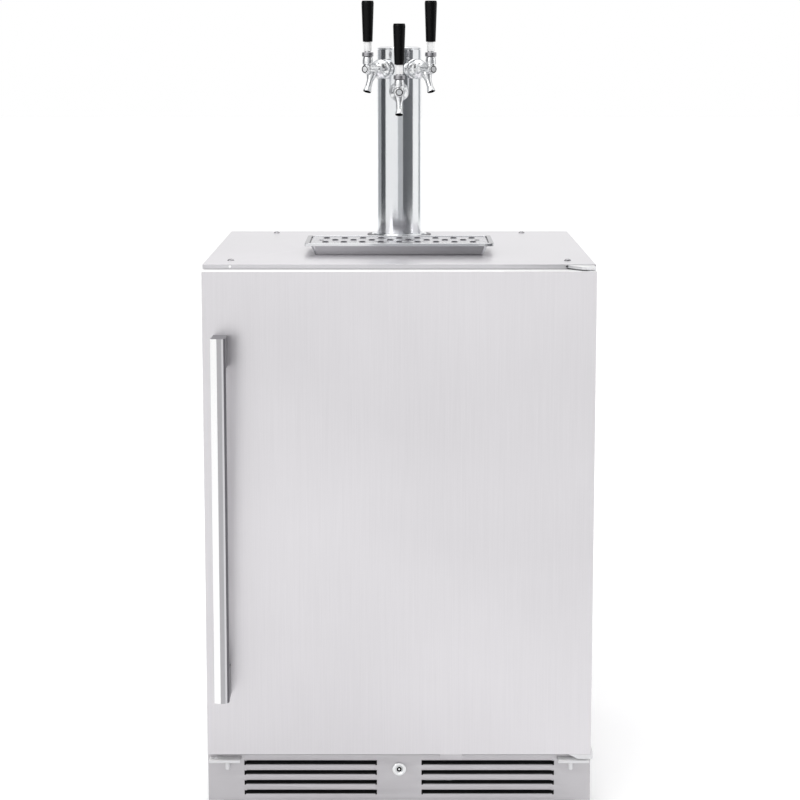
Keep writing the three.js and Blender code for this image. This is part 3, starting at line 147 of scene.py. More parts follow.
for name, place, power, size in (
    ("lamp_left", (-1.9, -2.2, 2.4), 12, 1.2),
    ("lamp_right", (2.2, -0.6, 1.9), 7, 1.0),
    ("lamp_top", (0.2, 0.6, 2.8), 9, 1.4),
):
    lamp = linked(name, bpy.data.lights.new(name, "AREA"))
    lamp.data.energy, lamp.data.size = power, size
    lamp.location = place
    lamp.rotation_euler = (Vector(place) - Vector((0, 0, 0.6))).to_track_quat("Z", "Y").to_euler()
sun = linked("soft_daylight", bpy.data.lights.new("soft_daylight", "SUN"))
sun.data.energy, sun.data.angle = 0.55, math.radians(50)
sun.rotation_euler = (math.radians(38), 0, math.radians(-28))

# each card: its paint, then for each of its two ends the bearing from the tower in degrees, measured from
# the front towards the right, the distance and the height of the lower edge. The two in front stand just
# before the top panel, which hides their lower edge, and behind the plane of the door, which can't
# mirror them.
tower_axis, card_top = 0.24, 1.9
for name, code, first, last in (
    ("card_right", "#6b6d70", (18, 0.512, 0.866), (75, 1.88, 0.76)),
    ("card_left", "#505255", (-108, 1.1, 0.8), (-74, 1.1, 0.8)),
    ("card_middle", "#d4d6d8", (-6, 0.49, 0.866), (17, 0.509, 0.866)),
    ("card_behind_right", "#b4b6b9", (118, 1.2, 0.8), (140, 1.2, 0.8)),
    ("card_behind_left", "#aeb0b3", (-140, 1.2, 0.8), (-109, 1.15, 0.8)),
):
    corners = []
    for bearing, away, low in (first, last):
        a = math.radians(bearing)
        x, y = away * math.sin(a), tower_axis - away * math.cos(a)
        corners += [(x, y, low), (x, y, card_top)]
    mesh = bpy.data.meshes.new(name)
    mesh.from_pydata([corners[i] for i in (0, 2, 3, 1)], [], [(0, 1, 2, 3)])
    paint, _ = new_finish(name + "_paint", {"Base Color": linear(code), "Roughness": 1.0})
    mesh.materials.append(paint)
    card = linked(name, mesh)
    card.visible_camera = card.visible_diffuse = card.visible_shadow = False
    card.visible_transmission = False
    card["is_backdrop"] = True

bpy.context.scene.view_settings.view_transform = "Standard"


# ---- Cabinet shell: stainless steel sheet, 1 mm, folded into a wrapper with a flange round the door
# opening. Its edges are folded, so each has a small radius.
MM = 0.001


def varied(shader, roughness, rubbed, code, shades, shaded, spread=(0.0, 1.0)):
    """The roughness follows one pattern between two values, and the colour's shade follows another between
    two factors, as that pattern runs over its spread."""
    tree = shader.id_data
    inputs = {"Value": rubbed, "To Min": roughness[0], "To Max": roughness[1]}
    rub = add_node(tree, "ShaderNodeMapRange", inputs)
    tree.links.new(rub.outputs[0], shader.inputs["Roughness"])
    inputs = {"Value": shaded, "From Min": spread[0], "From Max": spread[1]}
    shade = add_node(tree, "ShaderNodeMapRange", {**inputs, "To Min": shades[0], "To Max": shades[1]})
    inputs = {0: linear(code)[:3], "Scale": shade.outputs[0]}
    tint = add_node(tree, "ShaderNodeVectorMath", inputs, operation="SCALE")
    tree.links.new(tint.outputs[0], shader.inputs["Base Color"])


def steel_finish(name, colour, grain, roughness=(0.30, 0.40), tone=0.02, depth=0.02, metal=1.0):
    """Stainless steel with a brushed grain. Grain gives the streaks' size in millimetres along x, y and z:
    a belt leaves scratches about 0.1 mm wide, drawn here as 2 mm so that they show at this distance."""
    made, shader = new_finish(name, {"Metallic": metal})
    tree = made.node_tree
    where = add_node(tree, "ShaderNodeTexCoord").outputs["Object"]
    scale = tuple(1 / (g * MM) for g in grain)
    along = add_node(tree, "ShaderNodeMapping", {"Vector": where, "Scale": scale}).outputs[0]
    inputs = {"Vector": along, "Scale": 1.0, "Detail": 4.0, "Roughness": 0.65}
    streaks = add_node(tree, "ShaderNodeTexNoise", inputs).outputs[0]
    clouds = add_node(tree, "ShaderNodeTexNoise", {"Vector": where, "Scale": 4.0, "Detail": 2.0}).outputs[0]
    mottle = add_node(tree, "ShaderNodeMath", {0: streaks, 1: clouds}, operation="ADD").outputs[0]
    varied(shader, roughness, streaks, colour, (1 - tone, 1 + tone), mottle, (0.6, 1.4))
    bump = add_node(tree, "ShaderNodeBump", {"Height": streaks, "Strength": 0.25, "Distance": depth * MM})
    tree.links.new(bump.outputs[0], shader.inputs["Normal"])
    return made


# brushed stainless: pale and satin, with faint streaks along the grain
steel_upright = steel_finish("brushed_stainless_upright", "#d8d6d9", (1.8, 1.8, 140), tone=0.045)
steel_level = steel_finish("brushed_stainless_level", "#dcdadd", (140, 1.8, 1.8), tone=0.03)


def settled(thing):
    """The object's mesh with its modifiers carried out, and the modifiers gone."""
    graph = bpy.context.evaluated_depsgraph_get()
    mesh = bpy.data.meshes.new_from_object(thing.evaluated_get(graph), depsgraph=graph)
    thing.modifiers.clear()
    thing.data = mesh
    return thing


def smooth(thing, sharp):
    """Smooth shading, save for the edges that turn by more than the angle in degrees."""
    thing.data.shade_smooth()
    thing.data.set_sharp_from_angle(angle=math.radians(sharp))
    return thing


def with_round_edges(thing, edge, steps, angle, harden):
    """The edges that turn by more than the angle in degrees, rounded by edge mm."""
    bevel = thing.modifiers.new("edges", "BEVEL")
    bevel.width, bevel.segments = edge * MM, steps
    bevel.limit_method, bevel.angle_limit = "ANGLE", math.radians(angle)
    bevel.harden_normals = harden
    return settled(thing)


def shaped(name, bm, material, edge=0.0, steps=2, sharp=35):
    """An object from its mesh, with its material and its edges rounded by edge mm."""
    mesh = bpy.data.meshes.new(name)
    bmesh.ops.recalc_face_normals(bm, faces=bm.faces)
    bm.to_mesh(mesh)
    bm.free()
    thing = linked(name, mesh)
    if edge:
        mesh.shade_smooth()
        with_round_edges(thing, edge, steps, 32, True)
    else:
        smooth(thing, sharp)
    thing.data.materials.append(material)
    return thing


def set_on(thing, body, nodes=()):
    """The piece rides its body, and the nodes it stands for are hidden."""
    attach(thing, body)
    if nodes:
        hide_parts(*nodes)
    return thing


def made_piece(name, bm, material, body, nodes=(), edge=0.0, steps=2, sharp=35):
    """A piece from its mesh, set on its body."""
    return set_on(shaped(name, bm, material, edge, steps, sharp), body, nodes)


def from_cad(node):
    """The node's solid as one clean mesh, its flat faces whole again."""
    bm = bmesh.new()
    bm.from_mesh(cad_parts[node].data)
    bmesh.ops.remove_doubles(bm, verts=bm.verts, dist=0.002 * MM)
    bmesh.ops.dissolve_limit(bm, angle_limit=math.radians(0.5), verts=bm.verts, edges=bm.edges)
    return bm


def cad_piece(name, node, material, body, edge, steps=2):
    """A piece that keeps its node's shape, with its edges rounded by edge mm."""
    return made_piece(name, from_cad(node), material, body, [node], edge, steps)


cad_piece("shell_wrapper", "cabinet_shell", steel_upright, "cabinet", 0.4)


# ---- Screws: round-head stainless machine screws with a cross recess. They hold the top panel, the rear
# cover, the kick plate and the hinge brackets. One head is drawn and set on every screw's place.
def block(bm, low, high, place=Matrix()):
    """A box between two corners of its place, in millimetres."""
    low, high = Vector(low), Vector(high)
    inside = Matrix.Translation((low + high) / 2) @ Matrix.Diagonal((*(high - low), 1))
    bmesh.ops.create_cube(bm, size=1, matrix=Matrix.Scale(MM, 4) @ place @ inside)
    return bm


def lofted(bm, loops, closed=False):
    """A closed shape through loops of points in millimetres; a loop of one point is a tip."""
    loops = [[bm.verts.new(Vector(p) * MM) for p in loop] for loop in loops]
    if not closed:
        for loop in (loops[0], loops[-1]):
            if len(loop) > 1:
                bm.faces.new(loop)
    for low, high in zip(loops, loops[1:] + loops[:1] if closed else loops[1:]):
        count = max(len(low), len(high))
        for i in range(count if count > 1 else 0):
            j = (i + 1) % count
            if len(low) == 1:
                bm.faces.new((low[0], high[j], high[i]))
            elif len(high) == 1:
                bm.faces.new((low[i], low[j], high[0]))
            else:
                bm.faces.new((low[i], low[j], high[j], high[i]))
    return bm


def turned(bm, profile, sides=64, place=Matrix(), closed=False):
    """A turned solid from radius and height pairs in millimetres, about the z axis of its place. A closed
    profile gives a ring."""
    loops = []
    for radius, height in profile:
        turns = [2 * math.pi * i / sides for i in range(sides if radius else 1)]
        loops.append([place @ Vector((radius * math.cos(a), radius * math.sin(a), height)) for a in turns])
    return lofted(bm, loops, closed)


def eased(points, radius, steps=3, closed=False):
    """The outline with each corner rounded by an arc, as far as its sides allow."""
    points = [Vector(p) for p in points]
    made = []
    count = len(points)
    for i, p in enumerate(points):
        before, after = points[i - 1] - p, points[(i + 1) % count] - p
        if not closed and i in (0, count - 1) or before.angle(after) > math.radians(172):
            made.append(p)
            continue
        cut = min(radius / math.tan(before.angle(after) / 2), before.length * 0.45, after.length * 0.45)
        first, last = p + before.normalized() * cut, p + after.normalized() * cut
        for k in range(steps + 1):
            t = k / steps
            made.append(first.lerp(p, t).lerp(p.lerp(last, t), t))
    return [tuple(p) for p in made]


def joined(first, others, operation):
    """The first solid with the others added to it or cut from it."""
    for other in others:
        step = first.modifiers.new("join", "BOOLEAN")
        step.object, step.operation, step.solver = other, operation, "EXACT"
        settled(first)
        bpy.data.objects.remove(other)
    return first


profile = [(0, -0.4), (4.1, -0.4)] + [(4.1 * math.cos(a), 2.1 * math.sin(a)) for a in (0, 0.3, 0.6, 0.9, 1.2)]
head = shaped("screw_head", turned(bmesh.new(), profile + [(0, 2.1)], 32), steel_level)
for low, high in (((-2.4, -0.5, 0.9), (2.4, 0.5, 4)), ((-0.5, -2.4, 0.9), (0.5, 2.4, 4))):
    joined(head, [shaped("recess", block(bmesh.new(), low, high), steel_level)], "DIFFERENCE")
smooth(head, 30)

screw_tree = bpy.data.node_groups.new("screws", "GeometryNodeTree")
for name, kind in (
    ("Places", "NodeSocketGeometry"),
    ("Head", "NodeSocketObject"),
    ("Turn", "NodeSocketVector"),
    ("Size", "NodeSocketFloat"),
    ("Finish", "NodeSocketMaterial"),
):
    screw_tree.interface.new_socket(name, in_out="INPUT", socket_type=kind)
screw_tree.interface.new_socket("Screws", in_out="OUTPUT", socket_type="NodeSocketGeometry")
given = add_node(screw_tree, "NodeGroupInput").outputs
shown_head = add_node(screw_tree, "GeometryNodeObjectInfo", {"Object": given["Head"]}).outputs["Geometry"]
inputs = {"Points": given["Places"], "Instance": shown_head, "Rotation": given["Turn"]}
scattered = add_node(screw_tree, "GeometryNodeInstanceOnPoints", {**inputs, "Scale": given["Size"]})
real = add_node(screw_tree, "GeometryNodeRealizeInstances", {"Geometry": scattered.outputs[0]})
inputs = {"Geometry": real.outputs[0], "Material": given["Finish"]}
dressed = add_node(screw_tree, "GeometryNodeSetMaterial", inputs)
add_node(screw_tree, "NodeGroupOutput", {"Screws": dressed.outputs[0]})


def grown(name, tree, inputs, base, body, nodes=(), edge=0.0, place=Matrix(), sharp=30):
    """A piece that a node tree makes on points given in millimetres, turned into a plain mesh."""
    mesh = base
    if not isinstance(base, bpy.types.Mesh):
        mesh = bpy.data.meshes.new(name)
        mesh.from_pydata([Vector(p) * MM for p in base], [], [])
    thing = linked(name, mesh)
    growth = thing.modifiers.new("grow", "NODES")
    growth.node_group = tree
    for socket in tree.interface.items_tree:
        if socket.in_out == "INPUT" and socket.name in inputs:
            growth[socket.identifier] = inputs[socket.name]
    thing.data.update()
    settled(thing).data.transform(place)
    if edge:
        with_round_edges(thing, edge, 2, 40, False)
    return set_on(smooth(thing, sharp), body, nodes)


def screws(name, places, turn, body="cabinet", size=1.0, material=steel_level):
    """Screw heads at places in millimetres, all turned one way."""
    inputs = {"Head": head, "Turn": turn, "Size": size, "Finish": material}
    return grown(name, screw_tree, inputs, places, body)


facing_up = (0.0, 0.0, 0.4)
facing_front = (math.pi / 2, 0.0, 0.0)
facing_back = (-math.pi / 2, 0.0, 0.0)


# ---- Top panel: stainless sheet, 1 mm, its front edge turned down over the front of the cabinet, held by
# four round-head screws near its corners. In the lip are a small screw and a plug with a painted highlight.
def faced(thing, material, chosen):
    """Gives the faces that chosen picks, by their middle in millimetres and their normal, another finish."""
    thing.data.materials.append(material)
    for face in thing.data.polygons:
        if chosen(face.center / MM, face.normal):
            face.material_index = len(thing.data.materials) - 1


cover = cad_piece("top_cover", "top_panel", steel_level, "cabinet", 0.45, 3)
# the lip's front face carries painted shade, a darker and duller copy of the steel
steel_painted_lip_shade = steel_finish("stainless_painted_lip_shade", "#c9c8cb", (140, 1.8, 1.8), (0.45, 0.55), 0.02, metal=0.35)
faced(cover, steel_painted_lip_shade, lambda middle, out: out.y < -0.7 and middle.z > 858)
# stainless screw heads, darkened as a painted dark reflection
screw_painted_dark_reflection = steel_finish("screw_stainless_painted_reflection", "#9d9c9f", (3, 3, 3), (0.2, 0.3))
top_places = [(-259, -182, 866), (259, -182, 866), (-215, 292, 866), (215, 292, 866)]
screws("top_screws", top_places, facing_up, "cabinet", 1.3, screw_painted_dark_reflection)
screws("lip_screw", [(254, -239, 862.5)], facing_front, "cabinet", 0.5, screw_painted_dark_reflection)
# painted highlight: a near-white, mostly matt copy of the steel, on the lip's plug, the door's top face, the
# hinge plates' tops and the levers' ferrules
steel_painted_highlight = steel_finish("stainless_painted_highlight", "#fbfbfb", (140, 1.8, 1.8), (0.45, 0.55), 0.02, metal=0.1)
screws("lip_plug", [(-256, -239, 862.5)], facing_front, "cabinet", 0.5, steel_painted_highlight)

# ---- Door skin: brushed stainless sheet folded round the foam, its grain upright. Its edges have the
# small radius of the folding press, and its top face carries a painted highlight.
skin = cad_piece("door_panel", "door_skin", steel_upright, "door", 0.7, 3)
faced(skin, steel_painted_highlight, lambda middle, out: out.z > 0.8 and middle.z > 850)

# ---- Kick plate: stainless sheet with eight pressed louvres in two groups, level slots whose lower edges
# lean inwards and take the condenser's air.
steel_kick = steel_finish("brushed_stainless_kick", "#c3c1c4", (140, 1.8, 1.8), (0.34, 0.44), 0.03, metal=0.8)
kick = from_cad("kick_plate")
# the blades carry painted shade where the plate would shade them and at their cheeks, and painted light
# below that, so the mesh is cut along both
slot_top, slot_pitch, shaded_height = 91.6, 15.87, 7.1
group_middle, half_blade, half_group = 137.95, 100.85, 104.5
cuts = [((0, 0, slot_top - shaded_height - row * slot_pitch), (0, 0, 1)) for row in range(4)]
for side in (-1, 1):
    cuts += [((side * group_middle + reach, 0, 0), (1, 0, 0)) for reach in (-half_blade, half_blade)]
for point, out in cuts:
    everything = kick.verts[:] + kick.edges[:] + kick.faces[:]
    bmesh.ops.bisect_plane(kick, geom=everything, plane_co=Vector(point) * MM, plane_no=out)
kick_sheet = made_piece("kick_panel", kick, steel_kick, "cabinet", ["kick_plate"], 0.25)
louvre_painted_shade = steel_finish("louvre_throat_painted_shade", "#0a0a0b", (60, 3, 3), (0.6, 0.7), 0.01, metal=0.0)
louvre_painted_light = steel_finish("louvre_blade_painted_light", "#cfcdd0", (140, 1.8, 1.8), (0.45, 0.55), 0.02, metal=0.2)


def in_louvre(middle, out):
    """Behind the plate's own face, inside one of the two groups."""
    inside = abs(abs(middle.x) - group_middle) < half_group and 35 < middle.z < 92.5
    return inside and middle.y > -251.7 and out.y < 0.5


def in_shade(middle, out):
    """In the upper part of a slot, or at a cheek."""
    high = (slot_top - middle.z) % slot_pitch < shaded_height
    return in_louvre(middle, out) and (high or abs(abs(middle.x) - group_middle) > half_blade + 0.05)


# painted light on the blades, then painted shade on their upper parts and cheeks
faced(kick_sheet, louvre_painted_light, in_louvre)
faced(kick_sheet, louvre_painted_shade, in_shade)

# ---- Rear cover: galvanised sheet, 1 mm, punched with two columns of air slots and a window for the
# mains inlet. It closes the machine space and is held by six screws.
galvanised, shader = new_finish("galvanised_sheet", {"Metallic": 1.0})
tree = galvanised.node_tree
where = add_node(tree, "ShaderNodeTexCoord").outputs["Object"]
# the zinc sets in crystals of about 9 mm, each with its own tilt and shade
inputs = {"Vector": where, "Scale": 1 / (9 * MM), "Randomness": 1.0}
spangle = add_node(tree, "ShaderNodeTexVoronoi", inputs).outputs["Color"]
varied(shader, (0.38, 0.55), spangle, "#a9adaf", (0.86, 1.06), spangle)

# a sheet's width, height and thickness, then the width, height and corner of its holes and of its slots
sheet_sizes = ["Width", "Height", "Thickness"]
sheet_sizes += [kind + size for kind in ("Hole ", "Slot ") for size in ("Width", "Height", "Corner")]
pierced = bpy.data.node_groups.new("pierced_sheet", "GeometryNodeTree")
pierced.interface.new_socket("Places", in_out="INPUT", socket_type="NodeSocketGeometry")
for name in sheet_sizes:
    pierced.interface.new_socket(name, in_out="INPUT", socket_type="NodeSocketFloat")
pierced.interface.new_socket("Finish", in_out="INPUT", socket_type="NodeSocketMaterial")
pierced.interface.new_socket("Sheet", in_out="OUTPUT", socket_type="NodeSocketGeometry")
given = add_node(pierced, "NodeGroupInput").outputs
inputs = {"Width": given["Width"], "Height": given["Height"]}
outer = add_node(pierced, "GeometryNodeCurvePrimitiveQuadrilateral", inputs)
marks = add_node(pierced, "GeometryNodeInputNamedAttribute", {"Name": "slot"}, data_type="BOOLEAN")
inputs = {"Geometry": given["Places"], "Selection": marks.outputs[0]}
parted = add_node(pierced, "GeometryNodeSeparateGeometry", inputs, domain="POINT")
outlines = add_node(pierced, "GeometryNodeJoinGeometry", {0: outer.outputs[0]})
for kind, places in (("Slot ", parted.outputs[0]), ("Hole ", parted.outputs[1])):
    inputs = {"Width": given[kind + "Width"], "Height": given[kind + "Height"]}
    flat = add_node(pierced, "GeometryNodeCurvePrimitiveQuadrilateral", inputs)
    inputs = {"Curve": flat.outputs[0], "Radius": given[kind + "Corner"], "Count": 8}
    round_ended = add_node(pierced, "GeometryNodeFilletCurve", inputs, mode="POLY")
    inputs = {"Points": places, "Instance": round_ended.outputs[0]}
    stamped = add_node(pierced, "GeometryNodeInstanceOnPoints", inputs)
    pierced.links.new(stamped.outputs[0], outlines.inputs[0])
loose = add_node(pierced, "GeometryNodeRealizeInstances", {"Geometry": outlines.outputs[0]})
face = add_node(pierced, "GeometryNodeFillCurve", {"Curve": loose.outputs[0]}, mode="TRIANGLES")
inputs = {"Mesh": face.outputs[0], "Offset Scale": given["Thickness"], "Individual": False}
raised = add_node(pierced, "GeometryNodeExtrudeMesh", inputs, mode="FACES")
under = add_node(pierced, "GeometryNodeFlipFaces", {"Mesh": face.outputs[0]})
whole = add_node(pierced, "GeometryNodeJoinGeometry", {0: raised.outputs["Mesh"]})
pierced.links.new(under.outputs[0], whole.inputs[0])
inputs = {"Geometry": whole.outputs[0], "Distance": 0.00001}
welded = add_node(pierced, "GeometryNodeMergeByDistance", inputs)
real = add_node(pierced, "GeometryNodeRealizeInstances", {"Geometry": welded.outputs[0]})
inputs = {"Geometry": real.outputs[0], "Material": given["Finish"]}
dressed = add_node(pierced, "GeometryNodeSetMaterial", inputs)
add_node(pierced, "NodeGroupOutput", {"Sheet": dressed.outputs[0]})


def pierced_sheet(name, places, slots, sizes, material, place, body, nodes, edge):
    """A flat sheet with holes at places and slots at slots, in millimetres from its middle."""
    mesh = bpy.data.meshes.new(name)
    mesh.from_pydata([(x * MM, z * MM, 0) for x, z in places + slots], [], [])
    flags = mesh.attributes.new("slot", "BOOLEAN", "POINT")
    flags.data.foreach_set("value", [False] * len(places) + [True] * len(slots))
    inputs = {key: size * MM for key, size in zip(sheet_sizes, sizes)}
    inputs["Finish"] = material
    return grown(name, pierced, inputs, mesh, body, nodes, edge, place)


# this turn brings a z axis to the front
forward = Matrix.Rotation(math.pi / 2, 4, "X")
# heights are measured from the cover's middle, and its outer face looks back
cover_middle = 161.25
cover_place = Matrix.Translation((0, 0.32375, cover_middle * MM)) @ Matrix.Rotation(math.pi, 4, "Z") @ forward
pierced_sheet(
    "rear_cover_sheet",
    [(x, 242.5 - cover_middle - 20 * row) for x in (-100, 100) for row in range(7)],
    [(49.5, 92 - cover_middle)],
    (462, 248.5, 0.6, 160, 6, 2.99, 48.6, 28.6, 1.5),
    galvanised,
    cover_place,
    "cabinet",
    ["rear_cover"],
    0.2,
)
rear_places = [(x, 323.5, z) for x in (-222, 222) for z in (46, 161, 276)]
screws("rear_cover_screws", rear_places, facing_back, size=0.72, material=galvanised)


# ---- Mains inlet: a moulded black socket with three pins, clipped into the rear cover.
def plastic_finish(name, colour, roughness, grain=0.6, depth=0.02, coat=0.0, level=0.5):
    """Moulded plastic: one colour through, with the fine texture that the mould leaves, about half a
    millimetre from bump to bump, which breaks up its shine a little."""
    made, shader = new_finish(name, {"IOR": 1.5, "Specular IOR Level": level, "Coat Weight": coat})
    tree = made.node_tree
    where = add_node(tree, "ShaderNodeTexCoord").outputs["Object"]
    wear = add_node(tree, "ShaderNodeTexNoise", {"Vector": where, "Scale": 28.0, "Detail": 3.0}).outputs[0]
    varied(shader, (roughness - 0.06, roughness + 0.06), wear, colour, (0.96, 1.04), wear)
    inputs = {"Vector": where, "Scale": 1 / (grain * MM), "Detail": 3.0}
    texture = add_node(tree, "ShaderNodeTexNoise", inputs)
    inputs = {"Height": texture.outputs[0], "Strength": 0.4, "Distance": depth * MM}
    bump = add_node(tree, "ShaderNodeBump", inputs)
    tree.links.new(bump.outputs[0], shader.inputs["Normal"])
    return made


# black ABS: matt from the mould
black_abs = plastic_finish("moulded_black_abs", "#1b1b1d", 0.48)
cad_piece("inlet_body", "power_inlet", black_abs, "cabinet", 0.8)
nickel = steel_finish("nickel_plated_pin", "#c9c4b8", (3, 3, 3), (0.2, 0.3))
pins = bmesh.new()
for x, z in ((-56.5, 92), (-49.5, 95.5), (-42.5, 92)):
    block(pins, (x - 1, 311, z - 2.6), (x + 1, 322, z + 2.6))
made_piece("inlet_pins", pins, nickel, "cabinet", (), 0.4)

# ---- Base pan and feet: a galvanised pan across the bottom, and four levelling feet, each a nylon pad
# moulded on a zinc-plated M10 bolt with a lock nut.
cad_piece("floor_pan", "base_pan", galvanised, "cabinet", 0.4)
zinc = steel_finish("zinc_plated_steel", "#b9bcbd", (4, 4, 4), (0.3, 0.42))
pad_profile = eased([(0, 0), (17, 0), (18, 1.5), (18, 5), (15, 7), (9.5, 7.6), (9.5, 9.5), (0, 9.5)], 0.8)
nut_profile = eased([(4.2, 11), (8.6, 11), (8.6, 16), (4.2, 16)], 0.4, closed=True)
thread = [(0, 9.4), (4.4, 9.4)]
for k in range(33):
    thread += [(5.0, 10.2 + 1.5 * k), (4.4, 10.95 + 1.5 * k)]
thread.append((0, 59.8))
for side, x in (("left", -262), ("right", 262)):
    for end, y in (("front", -200), ("back", 295)):
        place = Matrix.Translation((x, y, 0))
        foot = "foot_%s_%s" % (end, side)
        pad = turned(bmesh.new(), pad_profile, 48, place)
        made_piece(foot + "_pad", pad, black_abs, foot, [foot])
        stud = turned(bmesh.new(), thread, 24, place)
        turned(stud, nut_profile, 6, place, closed=True)
        made_piece(foot + "_bolt", stud, zinc, foot, [foot], sharp=28)

# ---- Lock: a chrome ring in the kick plate, and in it the plug of a tubular key lock, a round keyway with
# a post in its middle. The plug turns an arm behind the plate.
chrome, shader = new_finish("polished_chrome", {"Metallic": 0.86, "Specular Tint": linear("#a0a2a5")})
tree = chrome.node_tree
where = add_node(tree, "ShaderNodeTexCoord").outputs["Object"]
# plated and buffed: a clear mirror, with faint smears of wiping a few centimetres long
inputs = {"Vector": where, "Scale": 45.0, "Detail": 5.0, "Distortion": 0.8}
smears = add_node(tree, "ShaderNodeTexNoise", inputs).outputs[0]
varied(shader, (0.14, 0.24), smears, "#f1f2f3", (0.97, 1.0), smears)

lock_place = Matrix.Translation((0, -252, 77.2)) @ forward
profile = [(5.4, -9.6), (9, -9.6), (9, 0.3), (10.75, 0.3), (10.75, 1.3), (9.6, 2.2), (7.2, 2.2), (5.4, 1.0)]
ring = turned(bmesh.new(), eased(profile, 0.35, closed=True), 64, lock_place, closed=True)
made_piece("lock_ring", ring, chrome, "cabinet", ["lock_housing"])
profile = [(0, -10.7), (5, -10.7), (5, 1.2), (4, 1.2), (4, -3.8), (1.5, -3.8), (1.5, 1.2), (0, 1.2)]
plug = turned(bmesh.new(), eased(profile, 0.3), 48, lock_place)
made_piece("lock_keyway", plug, chrome, "lock", ["lock_plug"])
# painted shade: the keyway's deep recess is lined with a near-black matt finish
keyway_shade_paint = plastic_finish("keyway_painted_shade", "#0b0b0c", 0.7, 0.5, 0.02, level=0.1)
profile = [(1.6, -3.7), (3.95, -3.7), (3.95, -0.6), (1.6, -0.6)]
keyway = turned(bmesh.new(), profile, 40, lock_place, closed=True)
made_piece("lock_keyway_lining", keyway, keyway_shade_paint, "lock", ["lock_plug"])
cad_piece("lock_cam", "lock_arm", zinc, "lock", 0.35)

# ---- Hinges: stainless plates, 3 to 4 mm, bent and riveted, one at the top, one at the bottom and a spare
# one on the left for a door hung the other way. Each is held by two screws through its flange.
steel_tumbled = steel_finish("tumbled_stainless_plate", "#dfdfe1", (3, 3, 3), (0.4, 0.52), 0.02, 0.02, 0.6)
for node in ("top_hinge_bracket", "bottom_hinge_bracket", "spare_hinge_bracket"):
    plate_name = node.replace("bracket", "plate")
    plate = cad_piece(plate_name, node, steel_tumbled, "cabinet", 0.5)
    # the plates' top faces carry the painted highlight
    faced(plate, steel_painted_highlight, lambda middle, out: out.z > 0.8)
for name, side in (("bottom_hinge_screws", 1), ("spare_hinge_screws", -1)):
    places = [(side * x, -221.3, z) for x in (262, 284) for z in (66, 84)]
    screws(name, places, facing_front, size=0.85)
screws("top_hinge_screws", [(x, -221.3, 842) for x in (274, 288)], facing_front, size=0.85)

# ---- Door fittings: its own bottom hinge plate and the catch that the lock's arm hooks into, both of bent
# stainless sheet, held by small screws from below.
cad_piece("door_hinge_ear", "door_hinge_plate", steel_tumbled, "door", 0.6)
cad_piece("door_latch", "door_catch", steel_kick, "door", 0.25)
screws("latch_screws", [(x, -255, 107.2) for x in (71, 89)], (math.pi, 0.0, 0.3), "door", 0.6)

# ---- Door handle: a stainless bar, 22 by 18 mm, with a low ridge down its front. The land left of the
# ridge, the left flank and the back carry a painted highlight, the land right of it a painted mid-grey shade,
# the slope beyond it a fainter painted highlight, and the right flank and the ends painted shade. A standoff
# block at each end is welded on and bolted through the skin from inside.
# painted light and shade: copies of one stainless, each set by how light falls on its side of the bar
steel_painted_land_highlight = steel_finish("stainless_painted_land_highlight", "#fbfbfb", (1.6, 1.6, 60), (0.16, 0.24), 0.01, metal=0.9)
steel_painted_mid_shade = steel_finish("stainless_painted_mid_shade", "#aeadb0", (1.3, 1.3, 80), (0.26, 0.36), 0.05)
steel_painted_edge_highlight = steel_finish("stainless_painted_edge_highlight", "#cecdd0", (1.3, 1.3, 80), (0.26, 0.36), 0.03)
steel_painted_flank_shade = steel_finish("stainless_painted_flank_shade", "#6f6e72", (1.6, 1.6, 60), (0.34, 0.44), 0.04)


def extruded(bm, outline, along, low, high):
    """A solid bar of one outline, from low to high along x or z, in millimetres."""
    if along == "x":
        return lofted(bm, [[(at, a, b) for a, b in outline] for at in (low, high)])
    return lofted(bm, [[(a, b, at) for a, b in outline] for at in (low, high)])


section = [(-280, -322.6), (-270.4, -325), (-263.4, -323.6), (-260.8, -321.9), (-258, -316.5)]
section = eased(section + [(-258, -307), (-280, -307)], 0.5, closed=True)
bar = extruded(bmesh.new(), section, "z", 205.4, 763.7)
posts = bmesh.new()
post_section = eased([(-279.6, -309), (-258.4, -309), (-258.4, -275.3), (-279.6, -275.3)], 1.2, closed=True)
post_height = 47.3
for z in (205.8, 763.3 - post_height):
    extruded(posts, post_section, "z", z, z + post_height)
for name, shape, edge in (("handle_bar", bar, 0.6), ("handle_posts", posts, 0.8)):
    thing = made_piece(name, shape, steel_painted_mid_shade, "door", ["door_handle"], edge, 3)
    # painted highlight on the left and the back, a fainter one on the right slope, painted shade on the right
    # flank and the ends; the rest keeps the painted mid-grey shade
    faced(thing, steel_painted_land_highlight, lambda middle, out: out.x < -0.06 or out.y > 0.3)
    faced(thing, steel_painted_edge_highlight, lambda middle, out: 0.35 < out.x < 0.75 and out.y < 0)
    faced(thing, steel_painted_flank_shade, lambda middle, out: out.x > 0.75 or abs(out.z) > 0.5)


# ---- Door liner: white polystyrene sheet, vacuum formed, with a sunk panel in its middle and soft edges.
def ring_of_bars(profile, left, right, foot, top):
    """A mitred frame: each profile point is a distance in from the frame's outer edge and a depth."""
    loops = []
    for inwards, y in profile:
        x0, x1, z0, z1 = left + inwards, right - inwards, foot + inwards, top - inwards
        loops.append([(x0, y, z0), (x1, y, z0), (x1, y, z1), (x0, y, z1)])
    return lofted(bmesh.new(), loops, closed=True)


white_hips = plastic_finish("formed_white_polystyrene", "#e9eaea", 0.34, 1.2, 0.012)
cad_piece("door_lining", "door_liner", white_hips, "door", 0.9, 3)
rib = [(0, -230.4), (0, -228.6), (3, -227.6), (15, -227.6), (18, -228.6), (18, -230.4)]
frame_rib = ring_of_bars(eased(rib, 1.2, closed=True), -232, 232, 157, 807)
made_piece("door_lining_rib", frame_rib, white_hips, "door", ["door_liner"])

